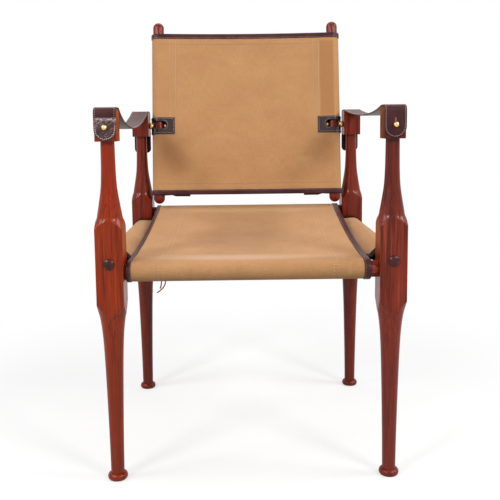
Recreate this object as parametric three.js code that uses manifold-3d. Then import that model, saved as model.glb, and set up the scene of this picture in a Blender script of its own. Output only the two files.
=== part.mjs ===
// A knock-down campaign armchair with canvas slings and leather strap arms.
// Four turned legs are joined by four round rails on tapered tenons. Two canvas slings cross on the
// rails to make the seat, and a canvas back on two round stiles swings on brass bolts between the
// back legs. Lengths are millimetres. +Z is up, the front faces -Y, and left is the left hand of
// someone who looks at the chair from the front, which is -X.

import * as THREE from 'three';
import { mergeVertices } from 'three/addons/utils/BufferGeometryUtils.js';
import Module from 'manifold-3d';

const wasm = await Module();
wasm.setup();

// Layout of the frame
const legSpacingX = 494;
const legSpacingY = 455;
const legHeight = 666;
const sideRailHeight = 400;
const frontRailDrop = 18;
const rearRailRise = 29;
const pivotDrop = 30.5;
const backLean = THREE.MathUtils.degToRad(9.7);

// Clearance between pieces that touch, and how far a cutter runs past a face
const fit = 0.3;
const overrun = 2;
const weld = 0.001;

// Legs
const legSquare = 48;
const arrisRadius = 2;
const squareBelow = 71;
const squareAbove = 59.5;
const ankleRadius = 12;
const neckRadius = 12.1;
const footRadius = 18;
const footHeight = 12.5;
const footUndercut = THREE.MathUtils.degToRad(60);
const capWidth = 37.5;
const capHeight = 55;
const capTopRadius = 7;
const capArris = 0.8;

// Rails and their tenons
const railRadius = 15;
const railEase = 1;
const tenonRoot = 10;
const tenonTip = 7;
const tenonLength = 30;
const tenonChamfer = 1;
const tenonWall = 2;
const sideTenonTip = 9;

// Domed bolts that draw the side rails into the legs
const boltHeadRadius = 9.5;
const boltDome = 4.2;
const boltLip = 0.8;
const boltShankRadius = 3.5;
const boltBite = 22;

// Collar studs that the arm straps button onto
const studDrop = 31;
const studBallRadius = 4.7;
const studNeckRadius = 2.2;
const studScrewRadius = 1.6;
const studScrewDepth = 10;

// Arm straps
const strapWidth = 38.5;
const strapThickness = 3;
const strapSagLeft = 35;
const strapSagRight = 14;
const strapFrontTailRise = 1.5;
const strapRearTailDrop = 39;
const strapRearCorner = 10;
const slitWidth = 1;
const slitLength = 9;

// Canvas and leather
const canvas = 1.6;
const bindingLeather = 1.2;
const wrapEase = 0.8;
const patchLeather = 1.8;

// Top sling of the seat, which runs from the front rail to the rear rail
const seatSideInset = 34;
const seatEdgeSag = 11;
const seatMiddleSag = 5;
const seatShiftFront = -5;
const seatShiftRear = 1;
const seatSagMargin = 20;
const seatBindingLeft = 6;
const seatBindingRight = 11;
const laceEdgeFront = 130;
const laceEdgeRear = 300;

// Lower sling, which runs from side rail to side rail
const lowerFrontGap = 9;
const lowerRearGap = 3;
const lowerSag = 10;
const lowerDropInset = 27;
const lowerFlapLength = 50;
const lowerBindingWidth = 12;

// Lace under the seat, with its knot and two loose tails
const laceRadius = 1.25;
const eyeletRadius = 2.6;
const eyeletCount = 6;
const eyeletInset = 10;
const eyeletMargin = 41;
const laceTurn = 3.4;
const knotRadius = 3.6;
const knotHeight = 6;

// Back
const stileRadius = 12.7;
const stileHeadBare = 30.9;
const stileFootBare = 21.4;
const stileSeatGap = 5.39;
const backAbove = 214;
const backBow = 8;
const backSeamInset = 30;
const backFlapInset = 72;
const backFlapSlack = 9;
const backFlapDrop = 3;
const backBindingWidth = 10;
const windowHeight = 17;
const windowInset = 19;
const patchHeight = 39;
const patchDrop = 2;
const patchInset = 38;

// Pivots of the back
const pivotRadius = 3;
const pivotHeadRadius = 6;
const pivotHeadDepth = 3;
const spacerLength = 9.95;
const spacerEndRadius = 5.8;
const spacerBelly = 8;
const nutAcross = 10;
const nutLength = 3.5;
const nutDome = 2.5;
const nutWall = 1;

// How round the turned and bent pieces are
const laceSides = 8;
const turningSides = 16;
const headSides = 12;
const smallSides = 10;
const holeSides = 8;
const bendSteps = 6;

// Places that follow from the sizes above
const halfX = legSpacingX / 2;
const halfLeg = legSquare / 2;
const halfCap = capWidth / 2;
const capBottom = legHeight - capHeight;
const frontRailHeight = sideRailHeight - frontRailDrop;
const rearRailHeight = sideRailHeight + rearRailRise;
const sideTenonLength = halfLeg - tenonRoot - fit - tenonWall;
const squareBottom = sideRailHeight - squareBelow;
const squareTop = sideRailHeight + squareAbove;
const pivotHeight = legHeight - pivotDrop;
const studHeight = legHeight - studDrop;
const seatHalfWidth = halfX - seatSideInset;
const stileX = halfX - halfCap - spacerLength - stileRadius - 2 * fit;
const stileAbove = backAbove + stileHeadBare;

const quarterTurn = Math.PI / 2;
const xAxis = new THREE.Vector3(1, 0, 0);
const yAxis = new THREE.Vector3(0, 1, 0);
const zAxis = new THREE.Vector3(0, 0, 1);

const finishes = {
  wood: { color: 0x7d2f16, roughness: 0.3, metalness: 0 },
  darkWood: { color: 0x5f1f10, roughness: 0.3, metalness: 0 },
  brownMetal: { color: 0x46262a, roughness: 0.35, metalness: 0.3 },
  brass: { color: 0xc99a52, roughness: 0.25, metalness: 1 },
  leather: { color: 0x41282d, roughness: 0.45, metalness: 0 },
  canvas: { color: 0xc39362, roughness: 0.9, metalness: 0 },
  cord: { color: 0xa8743a, roughness: 0.8, metalness: 0 },
};

// A closed geometry as a solid, with its faces turned outwards
function solidOf(geometry) {
  const bare = geometry.clone();
  for (const name of Object.keys(bare.attributes)) {
    if (name !== 'position') bare.deleteAttribute(name);
  }
  const welded = mergeVertices(bare, weld);
  const place = welded.attributes.position;
  const corners = [];
  let volume = 0;
  for (let i = 0; i < welded.index.count; i += 3) {
    const [a, b, c] = [0, 1, 2].map((k) => welded.index.getX(i + k));
    if (a === b || b === c || c === a) continue;
    const [p, q, r] = [a, b, c].map((k) => new THREE.Vector3().fromBufferAttribute(place, k));
    volume += p.dot(q.cross(r));
    corners.push(a, b, c);
  }
  if (volume < 0) corners.reverse();
  const vertProperties = new Float32Array(place.array);
  const triVerts = new Uint32Array(corners);
  return new wasm.Manifold(new wasm.Mesh({ numProp: 3, vertProperties, triVerts }));
}

function geometryOf(solid) {
  const mesh = solid.getMesh();
  const geometry = new THREE.BufferGeometry();
  geometry.setAttribute('position', new THREE.BufferAttribute(mesh.vertProperties, 3));
  geometry.setIndex(new THREE.BufferAttribute(mesh.triVerts, 1));
  geometry.computeVertexNormals();
  return geometry;
}

function piece(name, finish, solid) {
  const mesh = new THREE.Mesh(geometryOf(solid), new THREE.MeshStandardMaterial(finishes[finish]));
  mesh.name = name;
  return mesh;
}

// A turned solid: the profile gives radius and distance along the axis, from start in a direction
function turned(profile, start, direction, sides = turningSides) {
  const points = profile.map(([radius, along]) => new THREE.Vector2(radius, along));
  const lathe = new THREE.LatheGeometry(points, sides);
  const turn = new THREE.Quaternion().setFromUnitVectors(yAxis, direction);
  lathe.applyQuaternion(turn);
  lathe.translate(start.x, start.y, start.z);
  return solidOf(lathe);
}

// The cutter of a round hole from one point to another, straight or tapered. Its flats, not its
// corners, are at the radius, so that a round pin of nearly that radius goes in.
function bore(from, to, fromRadius, toRadius = fromRadius, sides = holeSides) {
  const along = to.clone().sub(from);
  const length = along.length();
  const flat = Math.cos((2 * quarterTurn) / sides);
  const profile = [[0, 0], [fromRadius / flat, 0], [toRadius / flat, length], [0, length]];
  return turned(profile, from, along.normalize(), sides);
}

// A flat outline in two of the axes, run along the third between two distances
function prism(shape, acrossAxis, upAxis, from, to, options = {}) {
  const geometry = new THREE.ExtrudeGeometry(shape, { depth: to - from, bevelEnabled: false, ...options });
  const along = new THREE.Vector3().crossVectors(acrossAxis, upAxis);
  const frame = new THREE.Matrix4().makeBasis(acrossAxis, upAxis, along);
  geometry.applyMatrix4(frame);
  geometry.translate(along.x * from, along.y * from, along.z * from);
  return solidOf(geometry);
}

function block(low, high) {
  const size = high.clone().sub(low);
  const geometry = new THREE.BoxGeometry(size.x, size.y, size.z);
  geometry.translate((low.x + high.x) / 2, (low.y + high.y) / 2, (low.z + high.z) / 2);
  return solidOf(geometry);
}

// Points on an arc about a centre in a plane, ends included
function arc(centreA, centreB, radius, fromAngle, toAngle, steps = bendSteps) {
  const points = [];
  for (let i = 0; i <= steps; i += 1) {
    const angle = fromAngle + ((toAngle - fromAngle) * i) / steps;
    points.push(new THREE.Vector2(centreA + radius * Math.cos(angle), centreB + radius * Math.sin(angle)));
  }
  return points;
}

// A cloth or leather panel is a function at(i, v) that gives a point of its middle surface. i counts
// along its bent outline and v is the distance across it. This fills the stretch between the given
// distances, from one depth outside that surface to another inside it. runOn carries both ends of
// the outline a little further, for a cutter.
function sheet(panel, distances, outside, inside = outside, runOn = 0) {
  const rows = panel.count;
  const columns = distances.length;
  const grid = [];
  for (let i = 0; i < rows; i += 1) grid.push(distances.map((v) => panel.at(i, v)));
  if (runOn > 0) {
    for (const [end, next] of [[0, 1], [rows - 1, rows - 2]]) {
      grid[end].forEach((point, j) => {
        const away = point.clone().sub(grid[next][j]).normalize();
        point.addScaledVector(away, runOn);
      });
    }
  }
  const positions = [];
  for (const depth of [outside, -inside]) {
    for (let i = 0; i < rows; i += 1) {
      for (let j = 0; j < columns; j += 1) {
        const along = grid[Math.min(i + 1, rows - 1)][j].clone().sub(grid[Math.max(i - 1, 0)][j]);
        const across = grid[i][Math.min(j + 1, columns - 1)].clone().sub(grid[i][Math.max(j - 1, 0)]);
        const normal = along.cross(across).normalize();
        const point = grid[i][j].clone().addScaledVector(normal, depth);
        positions.push(point.x, point.y, point.z);
      }
    }
  }
  const corner = (layer, i, j) => (layer * rows + i) * columns + j;
  const index = [];
  const quad = (a, b, c, d) => index.push(a, b, c, a, c, d);
  for (let i = 0; i + 1 < rows; i += 1) {
    for (let j = 0; j + 1 < columns; j += 1) {
      quad(corner(0, i, j), corner(0, i + 1, j), corner(0, i + 1, j + 1), corner(0, i, j + 1));
      quad(corner(1, i, j), corner(1, i, j + 1), corner(1, i + 1, j + 1), corner(1, i + 1, j));
    }
    for (const [j, flip] of [[0, false], [columns - 1, true]]) {
      const wall = [corner(1, i, j), corner(1, i + 1, j), corner(0, i + 1, j), corner(0, i, j)];
      quad(...(flip ? wall.reverse() : wall));
    }
  }
  for (let j = 0; j + 1 < columns; j += 1) {
    for (const [i, flip] of [[0, true], [rows - 1, false]]) {
      const wall = [corner(1, i, j), corner(1, i, j + 1), corner(0, i, j + 1), corner(0, i, j)];
      quad(...(flip ? wall.reverse() : wall));
    }
  }
  const geometry = new THREE.BufferGeometry();
  geometry.setAttribute('position', new THREE.Float32BufferAttribute(positions, 3));
  geometry.setIndex(index);
  return solidOf(geometry);
}

// A leather strip of a given width on the outside of a panel, turned over its edge; inwards is the
// sign that leads into the panel
function bindingOn(panel, edge, inwards, width) {
  const upwards = (...distances) => distances.sort((a, b) => a - b);
  const lip = edge - inwards * (fit + bindingLeather);
  const foot = edge + inwards * width;
  const face = canvas / 2;
  const strip = sheet(panel, upwards(lip, foot), face + fit + bindingLeather, face);
  const slot = upwards(edge - inwards * fit, foot + inwards * overrun);
  return strip.subtract(sheet(panel, slot, face + fit, face + fit, overrun));
}

function evenly(from, to, steps) {
  return Array.from({ length: steps + 1 }, (_, i) => from + ((to - from) * i) / steps);
}

// One leg. It is turned from a square blank: the foot bead, the long taper and the neck are round,
// and the square that is left between them meets the turning in pointed tongues. The cap on top is
// square again. side is -1 on the left, end is -1 at the front.
const taperHeightShares = [0, 0.182, 0.385, 0.584, 0.723, 0.81, 0.874, 0.923, 0.965, 1];
const taperRadiusShares = [0, 0.032, 0.091, 0.164, 0.236, 0.309, 0.405, 0.518, 0.709, 1];
const neckHeightShares = [0, 0.205, 0.363, 0.548, 0.733, 0.825, 0.9, 1];
const neckRadiusShares = [0, 0.014, 0.037, 0.114, 0.31, 0.425, 0.543, 1];
const taperSteps = 8;
const neckSteps = 6;
const footSteps = 5;

function legProfile() {
  const blankRadius = halfLeg * Math.SQRT2;
  const undercut = Math.sin(footUndercut);
  const bead = arc(0, 0, 1, -footUndercut, quarterTurn, footSteps).map((unit) => [
    ankleRadius + (footRadius - ankleRadius) * unit.x,
    (footHeight * (undercut + unit.y)) / (undercut + 1),
  ]);
  const taper = new THREE.SplineCurve(taperHeightShares.map((share, i) => new THREE.Vector2(
    ankleRadius + (blankRadius - ankleRadius) * taperRadiusShares[i],
    footHeight + (squareBottom - footHeight) * share,
  ))).getPoints(taperSteps).map((point) => [point.x, point.y]);
  const neck = new THREE.SplineCurve(neckHeightShares.map((share, i) => new THREE.Vector2(
    neckRadius + (blankRadius - neckRadius) * neckRadiusShares[i],
    capBottom - (capBottom - squareTop) * share,
  ))).getPoints(neckSteps).map((point) => [point.x, point.y]);
  const outside = blankRadius + overrun;
  bead[0][1] = 0;
  return [
    [0, 0], ...bead, ...taper.slice(1),
    [outside, squareBottom + overrun], [outside, squareTop - overrun],
    ...neck.reverse(),
    [neckRadius, capBottom + capHeight / 2], [0, capBottom + capHeight / 2],
  ];
}

function roundedSquare(width, radius) {
  const half = width / 2 - radius;
  const shape = new THREE.Shape();
  shape.absarc(half, half, radius, 0, quarterTurn);
  shape.absarc(-half, half, radius, quarterTurn, 2 * quarterTurn);
  shape.absarc(-half, -half, radius, 2 * quarterTurn, 3 * quarterTurn);
  shape.absarc(half, -half, radius, 3 * quarterTurn, 4 * quarterTurn);
  return shape;
}

function capBlock() {
  const side = new THREE.Shape();
  const inset = halfCap - capTopRadius;
  side.moveTo(-halfCap, capBottom);
  side.lineTo(halfCap, capBottom);
  side.absarc(inset, legHeight - capTopRadius, capTopRadius, 0, quarterTurn);
  side.absarc(-inset, legHeight - capTopRadius, capTopRadius, quarterTurn, 2 * quarterTurn);
  const bevel = {
    bevelEnabled: true, bevelThickness: capArris, bevelSize: capArris, bevelOffset: -capArris,
    bevelSegments: 1, curveSegments: 4,
  };
  return prism(side, yAxis, zAxis, capArris - halfCap, halfCap - capArris, bevel);
}

// A tapered socket that starts at a face and runs along a direction
function mortise(face, direction, rootRadius, tipRadius, length) {
  const slope = (rootRadius - tipRadius) / length;
  const from = face.clone().addScaledVector(direction, -overrun);
  const to = face.clone().addScaledVector(direction, length + fit);
  return bore(from, to, rootRadius + fit + slope * overrun, tipRadius + fit - slope * fit);
}

function legSolid(side, end) {
  const square = prism(roundedSquare(legSquare, arrisRadius), xAxis, yAxis, -overrun,
    capBottom + overrun, { curveSegments: 1 });
  let leg = turned(legProfile(), new THREE.Vector3(), zAxis).intersect(square).add(capBlock());
  const crossHeight = end < 0 ? frontRailHeight : rearRailHeight;
  const outX = new THREE.Vector3(side, 0, 0);
  const outY = new THREE.Vector3(0, end, 0);
  const innerFaceX = new THREE.Vector3(-side * halfLeg, 0, crossHeight);
  leg = leg.subtract(mortise(innerFaceX, outX, tenonRoot, tenonTip, tenonLength));
  const innerFaceY = new THREE.Vector3(0, -end * halfLeg, sideRailHeight);
  leg = leg.subtract(mortise(innerFaceY, outY, tenonRoot, sideTenonTip, sideTenonLength));
  const boltFace = new THREE.Vector3(0, end * (halfLeg + overrun), sideRailHeight);
  leg = leg.subtract(bore(boltFace, innerFaceY, boltShankRadius + fit));
  const studMouth = new THREE.Vector3(0, end * (halfCap + overrun), studHeight);
  const studEnd = new THREE.Vector3(0, end * (halfCap - studScrewDepth - fit), studHeight);
  leg = leg.subtract(bore(studMouth, studEnd, studScrewRadius + fit));
  if (end > 0) {
    const outerFace = new THREE.Vector3(side * halfCap, 0, pivotHeight);
    const beyond = outerFace.clone().addScaledVector(outX, overrun);
    const through = new THREE.Vector3(-side * (halfCap + overrun), 0, pivotHeight);
    leg = leg.subtract(bore(beyond, through, pivotRadius + fit));
    const sinkSlope = (pivotHeadRadius - pivotRadius) / pivotHeadDepth;
    const sinkEnd = outerFace.clone().addScaledVector(outX, -pivotHeadDepth);
    const sinkMouth = pivotHeadRadius + fit + sinkSlope * overrun;
    leg = leg.subtract(bore(beyond, sinkEnd, sinkMouth, pivotRadius + fit));
  }
  return leg;
}

// A rail turned with a tapered tenon at each end. boreDepth is the depth of the bolt hole in them.
function railSolid(reach, tip, tenon, boreDepth, direction) {
  const shoulder = reach - fit;
  const end = shoulder + tenon;
  const half = boreDepth > 0
    ? [[0, end - boreDepth], [boltShankRadius + fit, end - boreDepth], [boltShankRadius + fit, end]]
    : [[0, end]];
  half.push(
    [tip - tenonChamfer, end], [tip, end - tenonChamfer], [tenonRoot, shoulder],
    [railRadius - railEase, shoulder], [railRadius, shoulder - railEase],
  );
  const mirrored = half.map(([radius, along]) => [radius, -along]).reverse();
  return turned([...half, ...mirrored], new THREE.Vector3(), direction);
}

// The domed bolt that holds a side rail: its head lies on the leg and its shank bites into the rail
function boltSolid() {
  const dome = arc(0, 0, 1, quarterTurn, 0, 4).map((unit) => [
    boltHeadRadius * unit.x, fit + boltLip + boltDome * unit.y,
  ]);
  const shank = legSquare - sideTenonLength + boltBite;
  const profile = [
    ...dome, [boltHeadRadius, fit], [boltShankRadius, fit], [boltShankRadius, -shank], [0, -shank],
  ];
  return (start, direction) => turned(profile, start, direction, headSides);
}

// The collar stud: a ball on a neck, with a screw into the cap
function studSolid() {
  const neckEnd = strapThickness + 3 * fit;
  const neckAngle = Math.acos(studNeckRadius / studBallRadius);
  const ballCentre = neckEnd + studBallRadius * Math.sin(neckAngle);
  const ball = arc(0, ballCentre, studBallRadius, -neckAngle, quarterTurn, 6).map((p) => [p.x, p.y]);
  const profile = [
    [0, -studScrewDepth], [studScrewRadius, -studScrewDepth], [studScrewRadius, fit],
    [studNeckRadius, fit], ...ball,
  ];
  return (start, direction) => turned(profile, start, direction, smallSides);
}

// The arm strap lies over both caps, hangs between them and is buttoned on their outer faces
const strapHandleShares = { front: 0.2, rear: 0.35 };
const hangShare = 0.75;

function strapPanel(sag) {
  const lift = fit + strapThickness / 2;
  const bend = capTopRadius + lift;
  const inset = halfCap - capTopRadius;
  const bendHeight = legHeight - capTopRadius;
  const drop = sag / hangShare;
  const span = legSpacingY - 2 * inset;
  const frontAngle = Math.atan(drop / (strapHandleShares.front * span));
  const rearAngle = Math.atan(drop / (strapHandleShares.rear * span));
  const frontLeave = arc(inset, bendHeight, bend, quarterTurn, quarterTurn - frontAngle, 2);
  const rearMeet = arc(legSpacingY - inset, bendHeight, bend, quarterTurn + rearAngle, quarterTurn, 2);
  const start = frontLeave[frontLeave.length - 1];
  const finish = rearMeet[0];
  const frontHandle = new THREE.Vector2(strapHandleShares.front * span, -drop).add(start);
  const rearHandle = new THREE.Vector2(-strapHandleShares.rear * span, -drop).add(finish);
  const hang = new THREE.CubicBezierCurve(start, frontHandle, rearHandle, finish).getPoints(14);
  const outline = [
    new THREE.Vector2(-halfCap - lift, capBottom + strapFrontTailRise),
    ...arc(-inset, bendHeight, bend, 2 * quarterTurn, quarterTurn, 5),
    ...frontLeave,
    ...hang.slice(1, -1),
    ...rearMeet,
    ...arc(legSpacingY + inset, bendHeight, bend, quarterTurn, 0, 5),
    new THREE.Vector2(legSpacingY + halfCap + lift, capBottom - strapRearTailDrop),
  ];
  return { count: outline.length, at: (i, v) => new THREE.Vector3(v, outline[i].x, outline[i].y) };
}

// What is cut off a strap's end to round its corners
function strapEndCutter(bottom, radius, faceY, outwards) {
  const half = strapWidth / 2;
  const top = bottom + radius;
  const shape = new THREE.Shape();
  shape.moveTo(-half - overrun, bottom - overrun);
  shape.lineTo(half + overrun, bottom - overrun);
  shape.lineTo(half + overrun, top);
  shape.lineTo(half, top);
  shape.absarc(half - radius, top, radius, 0, -quarterTurn, true);
  shape.absarc(radius - half, top, radius, -quarterTurn, -2 * quarterTurn, true);
  shape.lineTo(-half - overrun, top);
  const near = faceY - outwards * overrun;
  const far = faceY + outwards * (strapThickness + overrun);
  const [low, high] = [Math.min(near, far), Math.max(near, far)];
  return prism(shape, xAxis, zAxis, -high, -low, { curveSegments: 5 });
}

function strapSolid(sag) {
  const half = strapWidth / 2;
  let strap = sheet(strapPanel(sag), [-half, half], strapThickness / 2);
  strap = strap.subtract(strapEndCutter(capBottom + strapFrontTailRise, half, -halfCap, -1));
  const rearFace = legSpacingY + halfCap;
  strap = strap.subtract(strapEndCutter(capBottom - strapRearTailDrop, strapRearCorner, rearFace, 1));
  for (const [faceY, outwards] of [[-halfCap, -1], [rearFace, 1]]) {
    const inside = faceY - outwards * overrun;
    const outside = faceY + outwards * (strapThickness + overrun);
    strap = strap.subtract(bore(new THREE.Vector3(0, inside, studHeight),
      new THREE.Vector3(0, outside, studHeight), studNeckRadius + fit));
    const slit = [
      new THREE.Vector3(-slitWidth / 2, Math.min(inside, outside), studHeight),
      new THREE.Vector3(slitWidth / 2, Math.max(inside, outside), studHeight + studNeckRadius + slitLength),
    ];
    strap = strap.subtract(block(...slit));
  }
  return strap;
}

// The middle of a cloth that wraps a bar in straight steps, so that each step clears the bar
function wrapRadius(bar, sweep, steps) {
  return (bar + wrapEase) / Math.cos(sweep / steps / 2) + canvas / 2;
}

// The top sling's outline: from its rear lace edge under the seat, round the rear rail, over the top
// with a sag, round the front rail and back under to its front lace edge
const seatTopSteps = 8;
const seatBendSteps = 8;
const seatAcrossSteps = 6;
const slingRadius = wrapRadius(railRadius, 2 * quarterTurn, seatBendSteps);
const railSlope = Math.atan2(rearRailHeight - frontRailHeight, legSpacingY);

function underSeatHeight(y) {
  const offset = slingRadius / Math.cos(railSlope);
  return frontRailHeight + y * Math.tan(railSlope) - offset;
}

function seatTopHeight(y) {
  const share = y / legSpacingY;
  const chord = frontRailHeight + slingRadius + (rearRailHeight - frontRailHeight) * share;
  return chord - 4 * seatEdgeSag * share * (1 - share);
}

function seatOutline() {
  const chordSlope = Math.tan(railSlope);
  const sagSlope = (4 * seatEdgeSag) / legSpacingY;
  const leaveAngle = quarterTurn + Math.atan(chordSlope - sagSlope) - 4 * quarterTurn;
  const meetAngle = quarterTurn + Math.atan(chordSlope + sagSlope);
  const underAngle = railSlope - quarterTurn;
  const onTop = (y) => ({ y, z: seatTopHeight(y), isTop: true });
  const under = (y) => ({ y, z: underSeatHeight(y), isTop: false });
  const bend = (y, z, from, to) => arc(y, z, slingRadius, from, to, seatBendSteps)
    .map((point) => ({ y: point.x, z: point.y, isTop: false }));
  return [
    under(laceEdgeFront),
    ...bend(0, frontRailHeight, underAngle, leaveAngle),
    ...evenly(0, legSpacingY, seatTopSteps).slice(1, -1).map(onTop),
    ...bend(legSpacingY, rearRailHeight, meetAngle, underAngle),
    under(laceEdgeRear),
  ];
}

// How much lower the middle of the seat hangs than its edges, and how far the sling sits off centre
function seatHollow(x, y) {
  const across = Math.min(Math.abs(x) / (seatHalfWidth - seatSagMargin), 1);
  const along = THREE.MathUtils.clamp(y / legSpacingY, 0, 1);
  return seatMiddleSag * (1 - across * across) ** 2 * Math.sin(Math.PI * along);
}

function seatShift(y) {
  return seatShiftFront + (seatShiftRear - seatShiftFront) * THREE.MathUtils.clamp(y / legSpacingY, 0, 1);
}

const seatPoints = seatOutline().reverse();
const seatPanel = {
  count: seatPoints.length,
  at(i, v) {
    const { y, z, isTop } = seatPoints[i];
    return new THREE.Vector3(v + seatShift(y), y, isTop ? z - seatHollow(v, y) : z);
  },
};

const eyeletPitch = (2 * (seatHalfWidth - eyeletMargin)) / (eyeletCount - 1 / 2);
const eyeletRows = {
  front: { x: eyeletMargin - seatHalfWidth, y: laceEdgeFront - eyeletInset, inwards: 1 },
  rear: { x: eyeletMargin - seatHalfWidth + eyeletPitch / 2, y: laceEdgeRear + eyeletInset, inwards: -1 },
};

function topSlingSolid() {
  const across = evenly(-seatHalfWidth, seatHalfWidth, seatAcrossSteps);
  let sling = sheet(seatPanel, across, canvas / 2);
  for (const { x, y } of Object.values(eyeletRows)) {
    for (let k = 0; k < eyeletCount; k += 1) {
      const middle = new THREE.Vector3(x + k * eyeletPitch, y, underSeatHeight(y));
      const up = middle.clone().addScaledVector(zAxis, overrun);
      const down = middle.clone().addScaledVector(zAxis, -overrun);
      sling = sling.subtract(bore(down, up, eyeletRadius));
    }
  }
  return sling;
}

const sleeveSteps = 8;
const sleeveSweep = 2.5 * quarterTurn;

// Half of a panel that ends in a sleeve round a bar, as points (a, b): a is the distance from the
// middle of the chair and b the height over the bar's centre line. The panel comes in to the point
// leave, wraps the bar and comes back as a flap that is sewn on behind the panel.
function sleeveHalf(barA, radius, panel, leave, seam, flapEnd) {
  const tangentAngle = (point, sign) => {
    const reach = Math.hypot(point.x - barA, point.y);
    return Math.atan2(point.y, point.x - barA) + sign * Math.acos(radius / reach);
  };
  let topAngle = tangentAngle(leave, -1);
  if (topAngle < 0) topAngle += 4 * quarterTurn;
  let bottomAngle = tangentAngle(seam, 1);
  if (bottomAngle > 0) bottomAngle -= 4 * quarterTurn;
  return [...panel, leave, ...arc(barA, 0, radius, topAngle, bottomAngle, sleeveSteps), seam, flapEnd];
}

// Both halves of such a panel as one outline, from the left flap's end to the right one's
function mirroredOutline(half) {
  const left = half.slice(1).reverse().map((point) => new THREE.Vector2(-point.x, point.y));
  return [...left, ...half];
}

// The lower sling lies under the top one. It clings to the side rails, dips under the top sling's
// edge and stays between that sling's upper and under layers.
const lowerFront = halfLeg + lowerFrontGap;
const lowerRear = legSpacingY - halfLeg - lowerRearGap;
const flapStep = canvas + 3 * fit;
const slingStep = canvas + bindingLeather + 2 * fit;
const lowerPanelShares = [0, 0.4, 0.75, 0.92];
const railWrap = wrapRadius(railRadius, sleeveSweep, sleeveSteps);

function lowerPanelHeight(x, y) {
  const share = (y - lowerFront) / (lowerRear - lowerFront);
  const sag = lowerSag * Math.sin(Math.PI * THREE.MathUtils.clamp(share, 0, 1));
  const free = sideRailHeight + railWrap - sag;
  const ceiling = seatTopHeight(y) - seatHollow(x, y) - slingStep;
  return Math.min(free, ceiling);
}

function lowerOutline(y) {
  const height = (x) => lowerPanelHeight(x, y) - sideRailHeight;
  const leaveX = halfX - lowerDropInset;
  const flapX = leaveX - lowerFlapLength;
  const panel = lowerPanelShares.map((share) => new THREE.Vector2(share * leaveX, height(share * leaveX)));
  const leave = new THREE.Vector2(leaveX, height(leaveX));
  const seam = new THREE.Vector2(leaveX, height(leaveX) - flapStep);
  const flapEnd = new THREE.Vector2(flapX, height(flapX) - flapStep);
  return mirroredOutline(sleeveHalf(halfX, railWrap, panel, leave, seam, flapEnd));
}

const lowerPanel = {
  count: lowerOutline(lowerFront).length,
  at(i, v) {
    const point = lowerOutline(v)[i];
    return new THREE.Vector3(point.x, v, sideRailHeight + point.y);
  },
};

const lowerDepths = [
  lowerFront,
  ...evenly(lowerFront + lowerBindingWidth + overrun, lowerRear - lowerBindingWidth - overrun, 4),
  lowerRear,
];

// The lace under the seat zigzags between the two edges of the top sling. It starts at a knot under
// the front left eyelet, where its two loose tails hang, and ends at a stopper knot at the rear.
class LaceRoute extends THREE.Curve {
  constructor(points) {
    super();
    this.points = points;
  }

  getPoint(t, target = new THREE.Vector3()) {
    const place = THREE.MathUtils.clamp(t, 0, 1) * (this.points.length - 1);
    const i = Math.min(Math.floor(place), this.points.length - 2);
    return target.lerpVectors(this.points[i], this.points[i + 1], place - i);
  }

  getTangent(t, target = new THREE.Vector3()) {
    const i = Math.round(THREE.MathUtils.clamp(t, 0, 1) * (this.points.length - 1));
    const before = this.points[Math.max(i - 1, 0)];
    const here = this.points[i];
    const after = this.points[Math.min(i + 1, this.points.length - 1)];
    const into = here.clone().sub(before).normalize();
    return target.copy(after).sub(here).normalize().add(into).normalize();
  }

  getUtoTmapping(u) {
    return u;
  }
}

function cordSolid(points, radius, sides = laceSides) {
  const section = new THREE.Shape(arc(0, 0, radius, 0, 4 * quarterTurn, sides).slice(0, -1));
  const route = new LaceRoute(points);
  const geometry = new THREE.ExtrudeGeometry(section, {
    steps: points.length - 1, bevelEnabled: false, extrudePath: route,
  });
  return solidOf(geometry);
}

// Places of the lace about an eyelet: out over the canvas edge, beside the hole and in it. level is
// -1 under the canvas and 1 over it, and lean leads towards the eyelet that comes before or after.
function laceAt(k, row) {
  const { x, y, inwards } = eyeletRows[row];
  const place = (dx, dy, level) => {
    const py = y + inwards * dy;
    return new THREE.Vector3(x + k * eyeletPitch + dx, py, underSeatHeight(py) + level * laceTurn);
  };
  return {
    edge: (level, lean) => place(lean * laceTurn, eyeletInset + laceTurn, level),
    beside: (level) => place(0, laceTurn, level),
    hole: place(0, 0, 0),
    under: place(0, 0, -1),
  };
}

function lacePoints() {
  const points = [];
  for (let k = 0; k < eyeletCount; k += 1) {
    const front = laceAt(k, 'front');
    const rear = laceAt(k, 'rear');
    const isLast = k === eyeletCount - 1;
    points.push(...(k === 0 ? [front.under] : [front.edge(-1, -1), front.beside(-1)]));
    points.push(front.hole, front.beside(1), front.edge(1, 1));
    if (isLast) points.push(rear.edge(1, -1), rear.beside(1), rear.hole, rear.under);
    else points.push(rear.edge(-1, -1), rear.beside(-1), rear.hole, rear.beside(1), rear.edge(1, 1));
  }
  return points;
}

function knotTop(k, row) {
  const top = laceAt(k, row).under;
  top.z -= fit;
  return top;
}

function knotSolid(top) {
  const lump = arc(0, 0, 1, -quarterTurn, quarterTurn, 6).map((unit) => [
    knotRadius * unit.x, (knotHeight * (1 + unit.y)) / 2,
  ]);
  lump[0][0] = 0;
  lump[lump.length - 1][0] = 0;
  return turned(lump, top.clone().addScaledVector(zAxis, -knotHeight), zAxis, smallSides);
}

// The loose tails hang from the lower end of the front knot. Their places are measured from there.
const tailRoutes = {
  long: [
    [1.6, 0, -0.6], [2, 0, -6], [3.5, 0.5, -13], [5.5, 1, -20], [7, 1, -27],
    [7, 0.5, -33], [5, 0, -39], [1, -0.5, -44.5], [-4, -0.5, -49], [-9.5, 0, -53],
  ],
  short: [
    [-1.6, 0, -0.6], [-2, 0, -6], [-2.2, 0, -13], [-1.6, 0.4, -20],
    [-0.6, 0.6, -27], [-0.6, 0.4, -33], [-1.6, 0, -39], [-3, -0.3, -44.5],
  ],
};

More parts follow.
